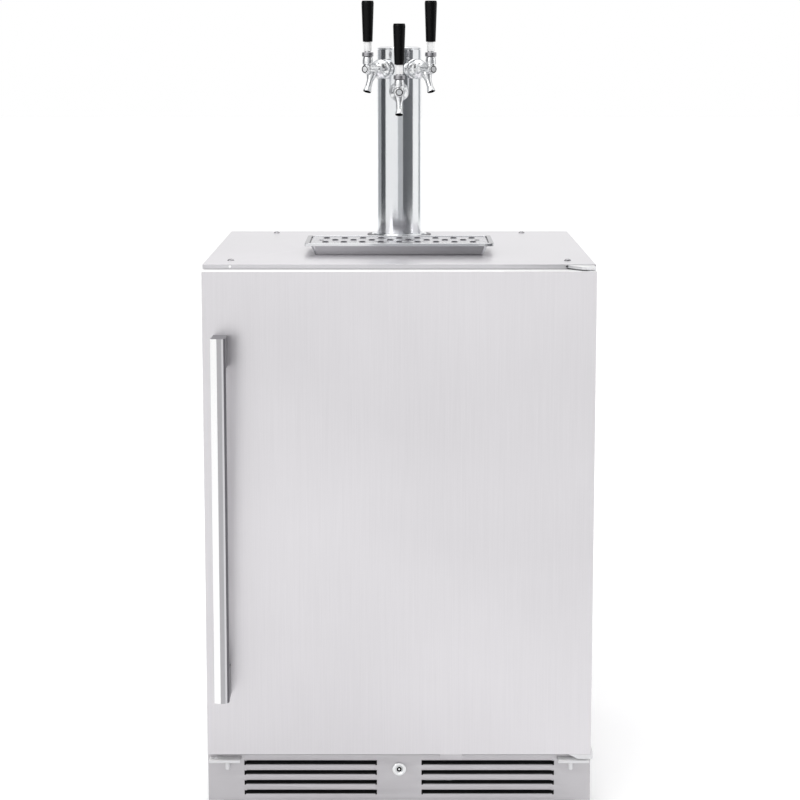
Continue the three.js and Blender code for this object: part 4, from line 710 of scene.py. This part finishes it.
# ---- Door gasket: grey PVC, a hollow magnetic strip pushed into a groove round the liner. It has a soft
# bellows at its outer side and a flat sealing face.
grey_pvc = plastic_finish("soft_grey_pvc", "#8d9092", 0.55, 0.8, 0.02)
lips = [(1.5, -229.7), (0, -227.5), (2.2, -225.2), (0.4, -222.8), (0.6, -219.2), (2.4, -218.4)]
lips += [(10.6, -218.4), (12.2, -219.4), (12.2, -223.6), (14, -226.6), (12.6, -229.7)]
seal = ring_of_bars(eased(lips, 0.9, closed=True), -264, 264, 125, 839)
made_piece("door_seal", seal, grey_pvc, "door", ["door_gasket"])

# ---- Drip tray: a deep-drawn stainless pan, 1.5 mm, with leaning walls, round corners and a flat rim. It
# lifts out to be emptied.
steel_polished = steel_finish("satin_polished_stainless", "#e4e5e7", (40, 40, 40), (0.12, 0.2), 0.015, 0.004)
steel_painted_wall_shading = steel_finish("stainless_wall_painted_shading", "#c4c3c6", (60, 4, 4), (0.4, 0.5), 0.02, 0.01, 0.45)
steel_painted_shade = steel_finish("stainless_painted_shade", "#6f6e71", (4, 4, 4), (0.4, 0.5), 0.03, metal=0.7)
tray_middle, tray_foot = -36.5, 866.3


def rounded_plan(width, depth, radius, z, steps=6):
    """A level rectangle with round corners about the tray's middle, as points in millimetres."""
    points = []
    for i, (sx, sy) in enumerate(((1, 1), (-1, 1), (-1, -1), (1, -1))):
        for k in range(steps + 1):
            a = math.pi / 2 * (i + k / steps)
            x = sx * (width / 2 - radius) + radius * math.cos(a)
            y = sy * (depth / 2 - radius) + radius * math.sin(a)
            points.append((x, tray_middle + y, z))
    return points


# each plan: width, depth, corner radius and height above the tray's foot
plans = [(266.5, 110.5, 5, 0), (268, 112, 6, 0.7), (279.5, 123.5, 8, 14.6), (285.6, 126.6, 6, 15.0)]
plans += [(286.2, 127.2, 6, 17.4), (295.4, 136.4, 4, 17.4), (295.4, 136.4, 4, 14.6), (297.4, 138.4, 5, 14.3)]
plans += [(298, 139, 5.4, 14.7), (298, 139, 5.4, 18.5), (297.0, 138.0, 5, 19), (285, 126, 6, 19)]
plans += [(284, 125, 5.5, 18.4), (284, 125, 5.5, 16.3), (276, 117, 5, 16.1), (265, 109, 4.5, 1.5)]
pan = lofted(bmesh.new(), [rounded_plan(w, d, r, tray_foot + z) for w, d, r, z in plans])
tray = made_piece("drip_pan", pan, steel_polished, "tray", ["drip_tray"], sharp=30)


def drawn_wall(middle, out):
    """A leaning wall, away from the corners."""
    return middle.z < 881.2 and out.z < 0.1 and min(abs(out.x), abs(out.y)) < 0.3


# painted shading: the walls, save the corners, take a grey, partly matt copy of the steel; the seat and
# floor under the grille carry painted shade, and the rim's ends the painted mid-grey shade
faced(tray, steel_painted_wall_shading, drawn_wall)
faced(tray, steel_painted_shade, lambda middle, out: middle.z < 883 and out.z > 0.5)
faced(tray, steel_painted_mid_shade, lambda middle, out: abs(middle.x) > 142 and middle.z > 883 and out.z > 0.2)

# ---- Drip grille: polished stainless sheet, 1.4 mm, punched with rows of 8 mm holes with raised edges and a
# short slot at each end. It lies loose in the tray.
steel_grille = steel_finish("satin_grille_sheet", "#c6c5c9", (60, 3, 3), (0.22, 0.32), 0.03, 0.01, 0.85)
collar_painted_shade = steel_finish("collar_stainless_painted_shade", "#4c4b50", (8, 8, 8), (0.25, 0.35), 0.03, 0.01)
grille_foot = 882.7
grille_holes = []
for row, count in ((-1, 9), (0, 8), (1, 9)):
    grille_holes += [((i - (count - 1) / 2) * 29.3, row * 34) for i in range(count)]
pierced_sheet(
    "drip_cover",
    grille_holes,
    [(-124.7, 0), (124.7, 0)],
    (280.2, 123.4, 1.4, 8, 8, 3.99, 8, 16, 3.99),
    steel_grille,
    Matrix.Translation(Vector((0, tray_middle, grille_foot)) * MM),
    "grille",
    ["drip_grille"],
    0.3,
)
# painted shade: the raised edges round the holes are a dark copy of the steel
profile = [(3.7, 0.3), (6.2, 1.2), (5.2, 1.7), (4.6, 2.5), (4.2, 2.7), (3.8, 2.6), (3.6, 2.1), (3.6, 0.6)]
collar = turned(bmesh.new(), eased(profile, 0.3, 2, closed=True), 24, closed=True)
collar = shaped("hole_collar", collar, collar_painted_shade)
inputs = {"Head": collar, "Turn": (0.0, 0.0, 0.0), "Size": 1.0, "Finish": collar_painted_shade}
places = [(x, y + tray_middle, grille_foot) for x, y in grille_holes]
grown(
    "drip_cover_collars", screw_tree, inputs, places, "grille", ["drip_grille"], sharp=60
)
bpy.data.objects.remove(collar)

# ---- Tower: a polished stainless tube, 76 mm across, on a flange with a rubber gasket, closed by a
# pressed cap. Three taps are screwed into its sides.
rubber = plastic_finish("black_epdm_rubber", "#1f1f20", 0.7, 0.5, 0.03)
tower_y = 240
tower = Matrix.Translation((0, tower_y, 0))
profile = eased([(30, 866.3), (52, 866.3), (52, 867.3), (30, 867.3)], 0.3, 2, closed=True)
flat_seal = turned(bmesh.new(), profile, 96, tower, closed=True)
made_piece("tower_seal", flat_seal, rubber, "cabinet", ["tower_gasket"])
profile = [(30, 867.6), (55, 867.6), (55, 869.6), (47.6, 869.6), (46.4, 872), (39, 872), (38.6, 870.1)]
profile = eased(profile + [(36.2, 870.1), (36.2, 880.1), (30, 880.1)], 0.5, closed=True)
flange = turned(bmesh.new(), profile, 128, tower, closed=True)
foot_plate = made_piece("tower_flange", flange, steel_polished, "cabinet", ["tower_base"])
# the flange's outer ring carries painted shade
faced(foot_plate, steel_painted_shade, lambda middle, out: math.hypot(middle.x, middle.y - tower_y) > 47.3)
# a ring close to each end keeps the long wall's shading straight
profile = [(36.5, 870.4), (38.1, 870.4), (38.1, 871.6), (38.1, 1184.5), (38.1, 1185.7), (36.5, 1185.7)]
tube = turned(bmesh.new(), eased(profile, 0.4, closed=True), 160, tower, closed=True)
steel_tube = steel_finish("polished_stainless_tube", "#e9ebed", (1.5, 1.5, 160), (0.1, 0.16), 0.03, 0.004)
column = shaped("tower_tube", tube, steel_tube)
# each tap's own frame stands on the column's axis at its shank's height, with its front towards -y
taps = []
for side, angle, height in (("left", -37, 1153), ("centre", 0, 1115), ("right", 37, 1153)):
    aim = Matrix.Translation((0, tower_y, height)) @ Matrix.Rotation(math.radians(angle), 4, "Z")
    taps.append((side, height, aim))
    drill = turned(bmesh.new(), [(0, 20), (11.3, 20), (11.3, 60), (0, 60)], 48, aim @ forward)
    joined(column, [shaped("drill_" + side, drill, steel_tube)], "DIFFERENCE")
set_on(smooth(column, 35), "cabinet", ["tower_column"])
profile = [(0, 1176), (36.2, 1176), (36.2, 1186.8), (38.1, 1186.8), (38.1, 1188.2), (33, 1190.6), (0, 1192)]
lid = turned(bmesh.new(), eased(profile, 0.7, 4), 128, tower)
made_piece("tower_lid", lid, steel_polished, "cabinet", ["tower_cap"])

# ---- Taps: forward of the tower each has a chrome shank with a collar against the column, a coupling nut,
# and a chrome-plated brass faucet with a bonnet, a front cap and a spout that leans forward. The lever's
# ball sits in the bonnet, and a phenolic handle is screwed on its stud.
# black phenolic: hard, smooth and dark, with a soft shine
phenolic = plastic_finish("moulded_black_phenolic", "#0a0a0b", 0.3, 0.9, 0.006, level=0.12)
# painted shade: a near-black matt finish for the inside of a spout, its groove and its weep hole
spout_painted_shade = plastic_finish("spout_bore_painted_shade", "#060606", 0.8, 0.5, 0.02, level=0.05)


def tap_solid(name, profile, place, sides=64, closed=False, material=chrome):
    """A turned solid that the faucet is made of or cut with."""
    return shaped(name, turned(bmesh.new(), profile, sides, place, closed), material)


# the faucet is drawn once, in the taps' own frame; its lever's pivot is 88 mm forward
pivot = Matrix.Translation((0, -88, 0))
spout_turn = Matrix.Translation((0, -76, -6)) @ Matrix.Rotation(math.pi - math.atan2(14, 31.5), 4, "X")
spout_length = math.hypot(14, 31.5)
profile = [(0, 44.3), (14.9, 44.3), (16.5, 48.4), (16.8, 52), (16.3, 56), (14.8, 60), (12.4, 63.4)]
profile += [(9.6, 65.8), (8.6, 69), (8.6, 90.6), (7.9, 92.8), (6.9, 92.8), (6.9, 96), (0, 96)]
barrel = tap_solid("barrel", eased(profile, 0.9, 4), forward)
# the bonnet's top is a part of a ball round the lever's pivot
dome = [(8.2 * math.sin(t), 17 + 8.2 * math.cos(t)) for t in (1.57, 1.4, 1.25, 1.1, 1.02)]
neck = eased([(7.4, 5), (7.0, 7.4), (8.2, 8.4), (8.6, 10), (8.6, 15)], 0.4)
bonnet = tap_solid("bonnet", [(0, 0), (7.4, 0)] + neck + dome + [(0, 21)], pivot)
profile = [(0, -7), (8.6, -7), (8.4, 4), (5.3, 14), (5.2, spout_length - 9)]
profile += [(6.9, spout_length - 1.4), (6.9, spout_length), (0, spout_length)]
spout = tap_solid("spout", eased(profile, 1.4, 5), spout_turn)
faucet = joined(barrel, [bonnet, spout], "UNION")
ball_seat = [(0, 5.2), (7.0, 5.2), (6.35, 9), (6.35, 19.4), (7.4, 21.6), (7.4, 23), (0, 23)]
slot_place = Matrix.Translation((0, 0, 5.4)) @ forward
cutters = [
    tap_solid("bore", [(0, -1), (5.7, -1), (5.7, 93.4), (0, 93.4)], forward, 48),
    tap_solid("seat", [(0, -1), (7.6, -1), (7.6, 46.3), (0, 46.3)], forward, 48),
    tap_solid("ball_seat", ball_seat, pivot, 48),
    tap_solid("stem_slot", [(0, 78), (2.2, 78), (2.2, 89), (0, 89)], slot_place, 24),
]
joined(faucet, cutters, "DIFFERENCE")
# the faces that these leave take the painted shade of the spout's inside
faucet.data.materials.append(spout_painted_shade)
mouth = [(0, 0), (4.4, 0), (4.4, spout_length - 9), (6.55, spout_length - 1)]
mouth += [(6.55, spout_length + 2), (0, spout_length + 2)]
groove = [(4.6, 95), (6.1, 95), (6.1, 98), (4.6, 98)]
weep_place = Matrix.Translation((0, -93, 7.6)) @ forward
# the mouth, the groove at the front cap and the weep hole are cut with painted shade
cutters = [
    tap_solid("mouth", mouth, spout_turn, 48, False, spout_painted_shade),
    tap_solid("groove", groove, forward, 48, True, spout_painted_shade),
    tap_solid("weep", [(0, 0), (1.5, 0), (1.5, 6), (0, 6)], weep_place, 24, False, spout_painted_shade),
]
smooth(joined(faucet, cutters, "DIFFERENCE"), 38)

profile = [(5.7, 24), (11, 24), (11, 34), (16.5, 34), (16.5, 42.6), (15.2, 44), (7.3, 44), (7.3, 46)]
shank_profile = eased(profile + [(5.7, 46)], 0.6, closed=True)
lever_profile = [(2.2 * math.sin(t), -17 - 2.2 * math.cos(t)) for t in (0, 0.4, 0.8, 1.2, 1.6, 2.0)]
lever_profile += [(1.7, -15.2), (1.7, -5.8)]
lever_profile += [(6 * math.sin(t), -6 * math.cos(t)) for t in (0.5, 0.8, 1.1, 1.4, 1.7, 2.0, 2.2)]
profile = [(4.2, 4.4), (4.2, 7.3), (6.0, 5.9), (7.3, 4.2), (9.0, 4.2), (9.6, 4.9), (9.6, 10.6), (9.0, 11.4)]
profile += [(6.0, 11.4), (5.2, 11.8), (5.2, 12.8), (6.5, 13.4), (6.5, 28.2), (4, 28.2), (4, 41), (0, 41)]
lever_profile += eased(profile, 0.45)
profile = [(4.3, 28.6), (8.2, 28.6), (8.5, 36), (10.4, 93), (9.6, 97), (0, 97), (0, 44), (4.3, 43)]
grip_profile = eased(profile, 1.3, 4)
for side, height, aim in taps:
    hinge = aim @ Matrix.Translation((0, -88, 17))
    shank = turned(bmesh.new(), shank_profile, 64, aim @ forward, closed=True)
    made_piece("tap_shank_" + side, shank, chrome, "cabinet", ["shank_" + side])
    tap_body = linked("tap_body_" + side, faucet.data.copy())
    metres = aim.copy()
    metres.translation *= MM
    tap_body.data.transform(metres)
    set_on(tap_body, "cabinet", ["faucet_body_" + side])
    lever = "lever_" + side
    stem = turned(bmesh.new(), lever_profile, 48, hinge)
    stem = made_piece("tap_stem_" + side, stem, chrome, lever, ["tap_lever_" + side])
    # the ferrule carries a painted highlight, the ring a painted grey reflection and the ring's lower edge
    # painted shade
    faced(stem, steel_painted_highlight, lambda middle, out: middle.z > height + 29.8)
    faced(stem, steel_painted_mid_shade, lambda middle, out: height + 21 < middle.z < height + 28.7)
    faced(stem, steel_painted_shade, lambda middle, out: height + 20.5 < middle.z < height + 22 and out.z < 0)
    grip = turned(bmesh.new(), grip_profile, 64, hinge)
    made_piece("tap_grip_" + side, grip, phenolic, lever, ["tap_handle_" + side])
    cad_piece("tap_shaft_" + side, "faucet_shaft_" + side, chrome, "shaft_" + side, 0.2)
bpy.data.objects.remove(faucet)

# ---- Machine space lining: the steel sheet that closes the foam's underside and steps up over the
# compressor, pressed in before the foam is poured. Its black is painted shade, so the machine space reads
# dark.
lining_painted_shade = plastic_finish("black_sheet_painted_shade", "#121213", 0.5, 2.0, 0.01)
deck = [(-216, 110.9), (186.3, 110.9), (186.3, 288.2), (322, 288.2)]
deck += [(322, 289), (185.5, 289), (185.5, 111.7), (-216, 111.7)]
lining = extruded(bmesh.new(), deck, "x", -295, 295)
made_piece("machine_space_lining", lining, lining_painted_shade, "cabinet", (), 0.2)

# ---- Foam: polyurethane, poured between the shell and the liner, and into the door. It shows its cut
# cells, about 1 mm wide, only where a panel is off. Both solids keep their own shape.
foam = plastic_finish("poured_polyurethane_foam", "#ebe5d2", 0.9, 1.0, 0.3)
for node in ("insulation_foam", "door_foam"):
    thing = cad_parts[node]
    if not thing.material_slots:
        thing.data.materials.append(foam)
    for one in thing.material_slots:
        one.material = foam

# ---- Inner liner: white polystyrene, formed in one piece with rounded corners and a step over the
# compressor. Its back has the hole for the beer lines in its ceiling.
step = [(160.7 - 6 * math.cos(t), 314 + 6 * math.sin(t)) for t in (0, 0.39, 0.79, 1.18, 1.57)]
cavity = [(-240, 150), (154.7, 150)] + step + [(277.7, 320), (277.7, 814), (-240, 814)]
hollow = shaped("hollow", extruded(bmesh.new(), cavity, "x", -252.5, 252.5), white_hips, 13, 5)
tub = [(-218, 147.5), (157.2, 147.5), (157.2, 317.5), (280.2, 317.5), (280.2, 816.5), (-218, 816.5)]
liner = shaped("liner_tub", extruded(bmesh.new(), tub, "x", -255, 255), white_hips)
line_hole = turned(bmesh.new(), [(0, 780), (30, 780), (30, 830), (0, 830)], 64, tower)
joined(liner, [hollow, shaped("passage", line_hole, white_hips)], "DIFFERENCE")
set_on(smooth(liner, 38), "cabinet", ["inner_liner"])

# ---- Floor mat: ribbed grey rubber, laid loose where the keg stands.
mat_rubber = plastic_finish("ribbed_grey_rubber", "#5c5f61", 0.72, 0.7, 0.05)
cad_piece("keg_mat", "floor_mat", mat_rubber, "cabinet", 0.5)

# ---- Compressor: a welded steel pot, painted black, on a pressed plate with four rubber mounts.
black_enamel = plastic_finish("black_enamelled_steel", "#161617", 0.3, 3.0, 0.01, 0.2)
pot_x, machine_y = 110, 254.45
pot_place = Matrix.Translation((pot_x, machine_y, 30.3))
turns = (0.0, 0.3, 0.6, 0.9, 1.2, math.pi / 2)
pot_profile = [(0, 16)] + [(24 + 32.8 * math.sin(a), 50 - 34 * math.cos(a)) for a in turns]
pot_profile += [(56.8, 87), (58, 88.2), (58, 93), (56.8, 94.2)]
pot_profile += [(24 + 32.8 * math.sin(a), 131 + 34 * math.cos(a)) for a in turns[::-1]] + [(0, 165)]
pot = turned(bmesh.new(), pot_profile, 72, pot_place)
plate = eased([(-95, -55), (95, -55), (95, 55), (-95, 55)], 9, 4, closed=True)
extruded(pot, [(x + pot_x, y + machine_y) for x, y in plate], "z", 46.3, 49.3)
made_piece("compressor_pot", pot, black_enamel, "cabinet", ["compressor"], sharp=40)
mounts = bmesh.new()
mount = eased([(0, 0), (9, 0), (9, 5), (6.5, 6.5), (6.5, 8), (9, 9.5), (9, 15.9), (0, 15.9)], 0.8)
for x in (-86, 86):
    for y in (-46, 46):
        turned(mounts, mount, 24, pot_place @ Matrix.Translation((x, y, 0)))
made_piece("compressor_mounts", mounts, rubber, "cabinet", ["compressor"])

# ---- Condenser and evaporator: copper tube bent to and fro through a stack of thin aluminium fins. The
# condenser stands beside the compressor, and the evaporator hangs behind its cover in the interior.
copper = steel_finish("drawn_copper_tube", "#c98a63", (3, 3, 3), (0.25, 0.38), 0.05)
fin_sheet = steel_finish("rolled_aluminium_fin", "#c6c9cb", (2, 2, 30), (0.3, 0.42), 0.04)


def swept(points, radius, sides=12):
    """A round bar along points in millimetres, closed at both ends."""
    points = [Vector(p) for p in points]
    aim = (points[1] - points[0]).normalized()
    side = aim.orthogonal().normalized()
    turns = [2 * math.pi * k / sides for k in range(sides)]
    loops = []
    for i, p in enumerate(points):
        ahead = (points[min(i + 1, len(points) - 1)] - points[max(i - 1, 0)]).normalized()
        side = (aim.rotation_difference(ahead) @ side).normalized()
        aim = ahead
        across = aim.cross(side)
        loops.append([p + (side * math.cos(a) + across * math.sin(a)) * radius for a in turns])
    return lofted(bmesh.new(), loops)


def finned_coil(name, low, high, along, passes, pitch, node):
    """A finned coil that fills the box between two corners in millimetres. Its tube runs along x or y."""
    run, deep = (0, 1) if along == "x" else (1, 0)

    def laid(way, depth, z):
        return (way, depth, z) if along == "x" else (depth, way, z)

    step = (high[2] - low[2]) / passes
    reach = step / 2 + 4
    middle = (low[deep] + high[deep]) / 2
    path = []
    for k in range(passes):
        z = low[2] + (k + 0.5) * step
        ends = (low[run] + reach, high[run] - reach)
        first, last = ends if k % 2 == 0 else ends[::-1]
        path += [laid(first, middle, z), laid(last, middle, z)]
        if k < passes - 1:
            away = 1 if last > first else -1
            for a in [math.pi * t / 8 for t in range(1, 8)]:
                beyond, up = away * step / 2 * math.sin(a), step / 2 * (1 - math.cos(a))
                path.append(laid(last + beyond, middle, z + up))
    made_piece(name + "_tube", swept(path, 4), copper, "cabinet", [node], sharp=50)
    half_fin = 0.15
    corners = (laid(-half_fin, low[deep] - middle, low[2]), laid(half_fin, high[deep] - middle, high[2]))
    fin = shaped(name + "_fin", block(bmesh.new(), *corners), fin_sheet)
    places = []
    at = low[run] + reach
    while at <= high[run] - reach:
        places.append(laid(at, middle, 0))
        at += pitch
    inputs = {"Head": fin, "Turn": (0.0, 0.0, 0.0), "Size": 1.0, "Finish": fin_sheet}
    grown(name + "_fins", screw_tree, inputs, places, "cabinet", [node])
    bpy.data.objects.remove(fin)


finned_coil("condenser_coil", (-225, 188.4, 30.4), (-155, 319.6, 265.2), "y", 10, 3.2, "condenser")
finned_coil("evaporator_pipe", (52, 261.5, 532), (228, 277.3, 770), "x", 12, 4.0, "evaporator_coil")

# ---- Fans: moulded grey wheels with five twisted blades. The condenser's turns in a black shroud beside
# its coil, and the evaporator's behind the grille of the cover.
grey_abs = plastic_finish("moulded_grey_nylon", "#6a6d70", 0.42)


def fan_wheel(radius, place):
    """A hub and five blades about the z axis of the place; each blade's pitch eases towards its tip."""
    hub = eased([(0, 0), (17, 0), (17, 10), (14, 12), (6, 12), (5, 10.5), (0, 10.5)], 1.5, 4)
    bm = turned(bmesh.new(), hub, 48, place)
    # the blade's section: places along its chord and heights off it
    upper = [(-0.5, 0.2), (-0.25, 0.7), (0, 0.8), (0.25, 0.7), (0.5, 0.2)]
    blade = upper + [(0.25, -0.5), (0, -0.6), (-0.25, -0.5)]
    for k in range(5):
        turn = place @ Matrix.Rotation(2 * math.pi * k / 5, 4, "Z")
        loops = []
        for t in (0, 0.2, 0.4, 0.6, 0.8, 1.0):
            reach = 15 + (radius - 15.4) * t
            pitch = math.radians(40 - 12 * t)
            chord = 22 + 8 * t - 6 * max(0, t - 0.8)
            loop = []
            for u, thick in blade:
                across, height = u * chord, thick + 1.4 * (1 - 4 * u * u)
                y = across * math.cos(pitch) - height * math.sin(pitch)
                z = across * math.sin(pitch) + height * math.cos(pitch)
                bend = math.asin(max(-0.9, min(0.9, y / reach)))
                loop.append(turn @ Vector((reach * math.cos(bend), reach * math.sin(bend), 5.4 + z * 0.86)))
            loops.append(loop)
        lofted(bm, loops)
    return bm


to_right = Matrix.Rotation(math.pi / 2, 4, "Y")
to_back = Matrix.Rotation(-math.pi / 2, 4, "X")
wheel = fan_wheel(52, Matrix.Translation((-130, machine_y, 159.9)) @ to_right)
fan_body, fan_node = "condenser_fan_body", "condenser_fan"
made_piece("condenser_wheel", wheel, grey_abs, fan_body, [fan_node], sharp=50)
cad_piece("condenser_shroud", "fan_shroud", black_abs, "cabinet", 0.6)
wheel = fan_wheel(44, Matrix.Translation((140, 227.9, 680)) @ to_back)
fan_body, fan_node = "evaporator_fan_body", "evaporator_fan"
made_piece("evaporator_wheel", wheel, black_abs, fan_body, [fan_node], sharp=50)

# ---- Evaporator cover: white polystyrene, with a round fan grille and seven return slots.
cad_piece("evaporator_hood", "evaporator_cover", white_hips, "cabinet", 0.5)

# ---- Control panel and light: a black housing under the ceiling with a sloped face, a dark display and
# four touch keys, and behind it a milk-white diffuser over the light.
cad_piece("control_housing", "control_panel", black_abs, "cabinet", 1.2, 3)
dark_glass = plastic_finish("dark_acrylic_window", "#08090b", 0.12, 4.0, 0.002, 0.4)
key_grey = plastic_finish("printed_grey_key", "#8f9396", 0.45)
# the sloped face's own z looks forward and down
slope = Matrix.Translation((0, -204.5, 797.2)) @ Matrix.Rotation(math.radians(135), 4, "X")
window = block(bmesh.new(), (-26, -5.2, -0.2), (26, 5.2, 0.35), slope)
made_piece("control_display", window, dark_glass, "cabinet", (), 0.3)
keys = bmesh.new()
key_profile = eased([(0, -0.2), (4.4, -0.2), (4.4, 0.45), (0, 0.45)], 0.2)
for x in (-72, -48, 48, 72):
    turned(keys, key_profile, 32, slope @ Matrix.Translation((x, 0, 0)))
made_piece("control_keys", keys, key_grey, "cabinet", ())
diffuser = plastic_finish("milk_white_polycarbonate", "#f4f4f0", 0.4, 1.5, 0.01)
glow = diffuser.node_tree.nodes["Principled BSDF"]
glow.inputs["Emission Color"].default_value = linear("#fff6e8")
glow.inputs["Emission Strength"].default_value = 0.7
section = [(-159, 813.7), (-159, 808.2), (-157, 806.2), (-143, 806.2), (-141, 808.2), (-141, 813.7)]
strip = extruded(bmesh.new(), eased(section, 1.2, closed=True), "x", -110, 110)
made_piece("light_diffuser", strip, diffuser, "cabinet", ["light_strip"], 0.6)

# ---- Gas cylinder: a spun aluminium bottle, painted grey, with a brass valve. It stands on the step over
# the compressor.
grey_enamel = plastic_finish("grey_enamelled_bottle", "#9ea3a6", 0.28, 2.5, 0.012, 0.3)
bottle_place = Matrix.Translation((-180, 216.2, 320.3))
shoulder = [(16 + 39.5 * math.cos(a), 285 + 40 * math.sin(a)) for a in [math.pi / 20 * k for k in range(10)]]
neck = [(16.6, 325.4), (16, 328), (16, 337.5), (14.8, 338.8), (0, 338.8)]
profile = eased([(0, 0), (40, 0), (47.5, 0), (55.5, 8), (55.5, 30)], 5, 5) + shoulder + neck
bottle = turned(bmesh.new(), profile, 96, bottle_place)
made_piece("gas_bottle", bottle, grey_enamel, "cabinet", ["gas_cylinder"], sharp=40)
brass = steel_finish("machined_brass", "#c9a660", (3, 3, 3), (0.18, 0.3), 0.04)
profile = [(0, 338.9), (11.2, 338.9), (13, 340), (13, 347), (11.2, 348), (10.6, 348), (10.6, 371)]
profile += [(12.4, 371), (13, 372), (13, 380), (12.2, 381), (4, 381), (4, 391), (0, 391)]
valve = turned(bmesh.new(), profile, 48, bottle_place)
profile = [(0, 0), (7.2, 0)]
for k in range(9):
    profile += [(7.2, 9 + 1.4 * k), (8, 9.7 + 1.4 * k)]
outlet = bottle_place @ Matrix.Translation((0, 0, 363)) @ forward
turned(valve, profile + [(7.2, 21.9), (0, 21.9)], 32, outlet)
made_piece("bottle_valve", valve, brass, "cabinet", ["gas_cylinder"], sharp=28)


# ---- Knobs and regulator: a brass regulator screwed on the valve's outlet, with two pressure gauges, and
# moulded black knobs on the valve and on the regulator's spring.
def lobed(radius, lobes, depth, height, place):
    """A knob with round lobes and a blind bore for its stem, about the z axis of its place."""
    rows = [(0, 10, False), (4.3, 10, False), (4.3, 0, False), (radius - 1.2, 0, True), (radius, 1.2, True)]
    rows += [(radius, height - 2.4, True), (radius - 0.8, height - 0.7, True), (radius - 2.8, height, True)]
    rows += [(radius * 0.5, height, False), (radius * 0.42, height - 1, False), (0, height - 1, False)]
    sides = lobes * 10
    loops = []
    for r, z, wavy in rows:
        loop = []
        for a in [2 * math.pi * i / sides for i in range(sides if r else 1)]:
            reach = r - (depth / 2 * (1 - math.cos(lobes * a)) if wavy else 0)
            loop.append(place @ Vector((reach * math.cos(a), reach * math.sin(a), z)))
        loops.append(loop)
    return lofted(bmesh.new(), loops)


valve_grip = lobed(19, 8, 2.5, 13, bottle_place @ Matrix.Translation((0, 0, 381.3)))
knob_body, knob_node = "gas_valve_knob_body", "gas_valve_knob"
made_piece("valve_grip", valve_grip, black_abs, knob_body, [knob_node], sharp=40)
gas_place = Matrix.Translation((-180, 202.9, 683.3)) @ forward
union_nut = [(8.4, 0), (13, 0), (14, 1), (14, 11), (13, 12), (8.4, 12)]
gas_body = turned(bmesh.new(), union_nut, 6, gas_place, closed=True)
bell = [(0, 12.1), (21, 12.1), (24, 14), (24, 20), (22.6, 20.8), (22.6, 22.4), (24, 23.2), (24, 28), (19, 32)]
turned(gas_body, eased(bell + [(0, 32)], 1.2), 72, gas_place)
turned(gas_body, [(0, 31), (4, 31), (4, 42), (0, 42)], 24, gas_place)
cases, faces, marks = bmesh.new(), bmesh.new(), bmesh.new()
case = eased([(0, 22), (21, 22), (24, 24), (24, 37), (22.2, 37), (21.4, 34.6), (0, 34.6)], 0.7)
for turn, gauge in ((to_back, (0, 58, 0)), (to_right, (58, 0, 0))):
    stub_place = gas_place @ Matrix.Translation((0, 0, 26)) @ turn
    turned(gas_body, [(0, 10), (4.6, 10), (4.6, 36), (0, 36)], 24, stub_place)
    here = gas_place @ Matrix.Translation(gauge)
    turned(cases, case, 64, here)
    turned(faces, [(0, 34.4), (21.2, 34.4), (21.2, 34.9), (0, 34.9)], 48, here)
    for k in range(11):
        a = math.radians(225 - 27 * k)
        tick = here @ Matrix.Rotation(a, 4, "Z") @ Matrix.Translation((17, 0, 35))
        half = 1.6 if k % 5 == 0 else 0.9
        block(marks, (-half, -0.35, -0.2), (half, 0.35, 0.1), tick)
    needle = here @ Matrix.Rotation(math.radians(150), 4, "Z") @ Matrix.Translation((5, 0, 35.3))
    block(marks, (-9, -0.5, -0.2), (9, 0.5, 0.2), needle)
    turned(marks, [(0, 34.8), (2.2, 34.8), (2.2, 36), (0, 36)], 24, here)
made_piece("regulator_body", gas_body, brass, "cabinet", ["regulator"], sharp=35)
dial_white = plastic_finish("printed_dial_face", "#f1f1ee", 0.5)
needle_black = plastic_finish("black_dial_print", "#17181a", 0.5)
made_piece("gauge_cases", cases, steel_polished, "cabinet", ["regulator"], sharp=40)
made_piece("gauge_dials", faces, dial_white, "cabinet", ["regulator"])
made_piece("gauge_marks", marks, needle_black, "cabinet", ["regulator"])
pressure_grip = lobed(15, 8, 1.2, 18, gas_place @ Matrix.Translation((0, 0, 32.3)))
knob_body, knob_node = "regulator_knob_body", "regulator_knob"
made_piece("pressure_grip", pressure_grip, black_abs, knob_body, [knob_node], sharp=40)

bpy.data.objects.remove(head)

low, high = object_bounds()
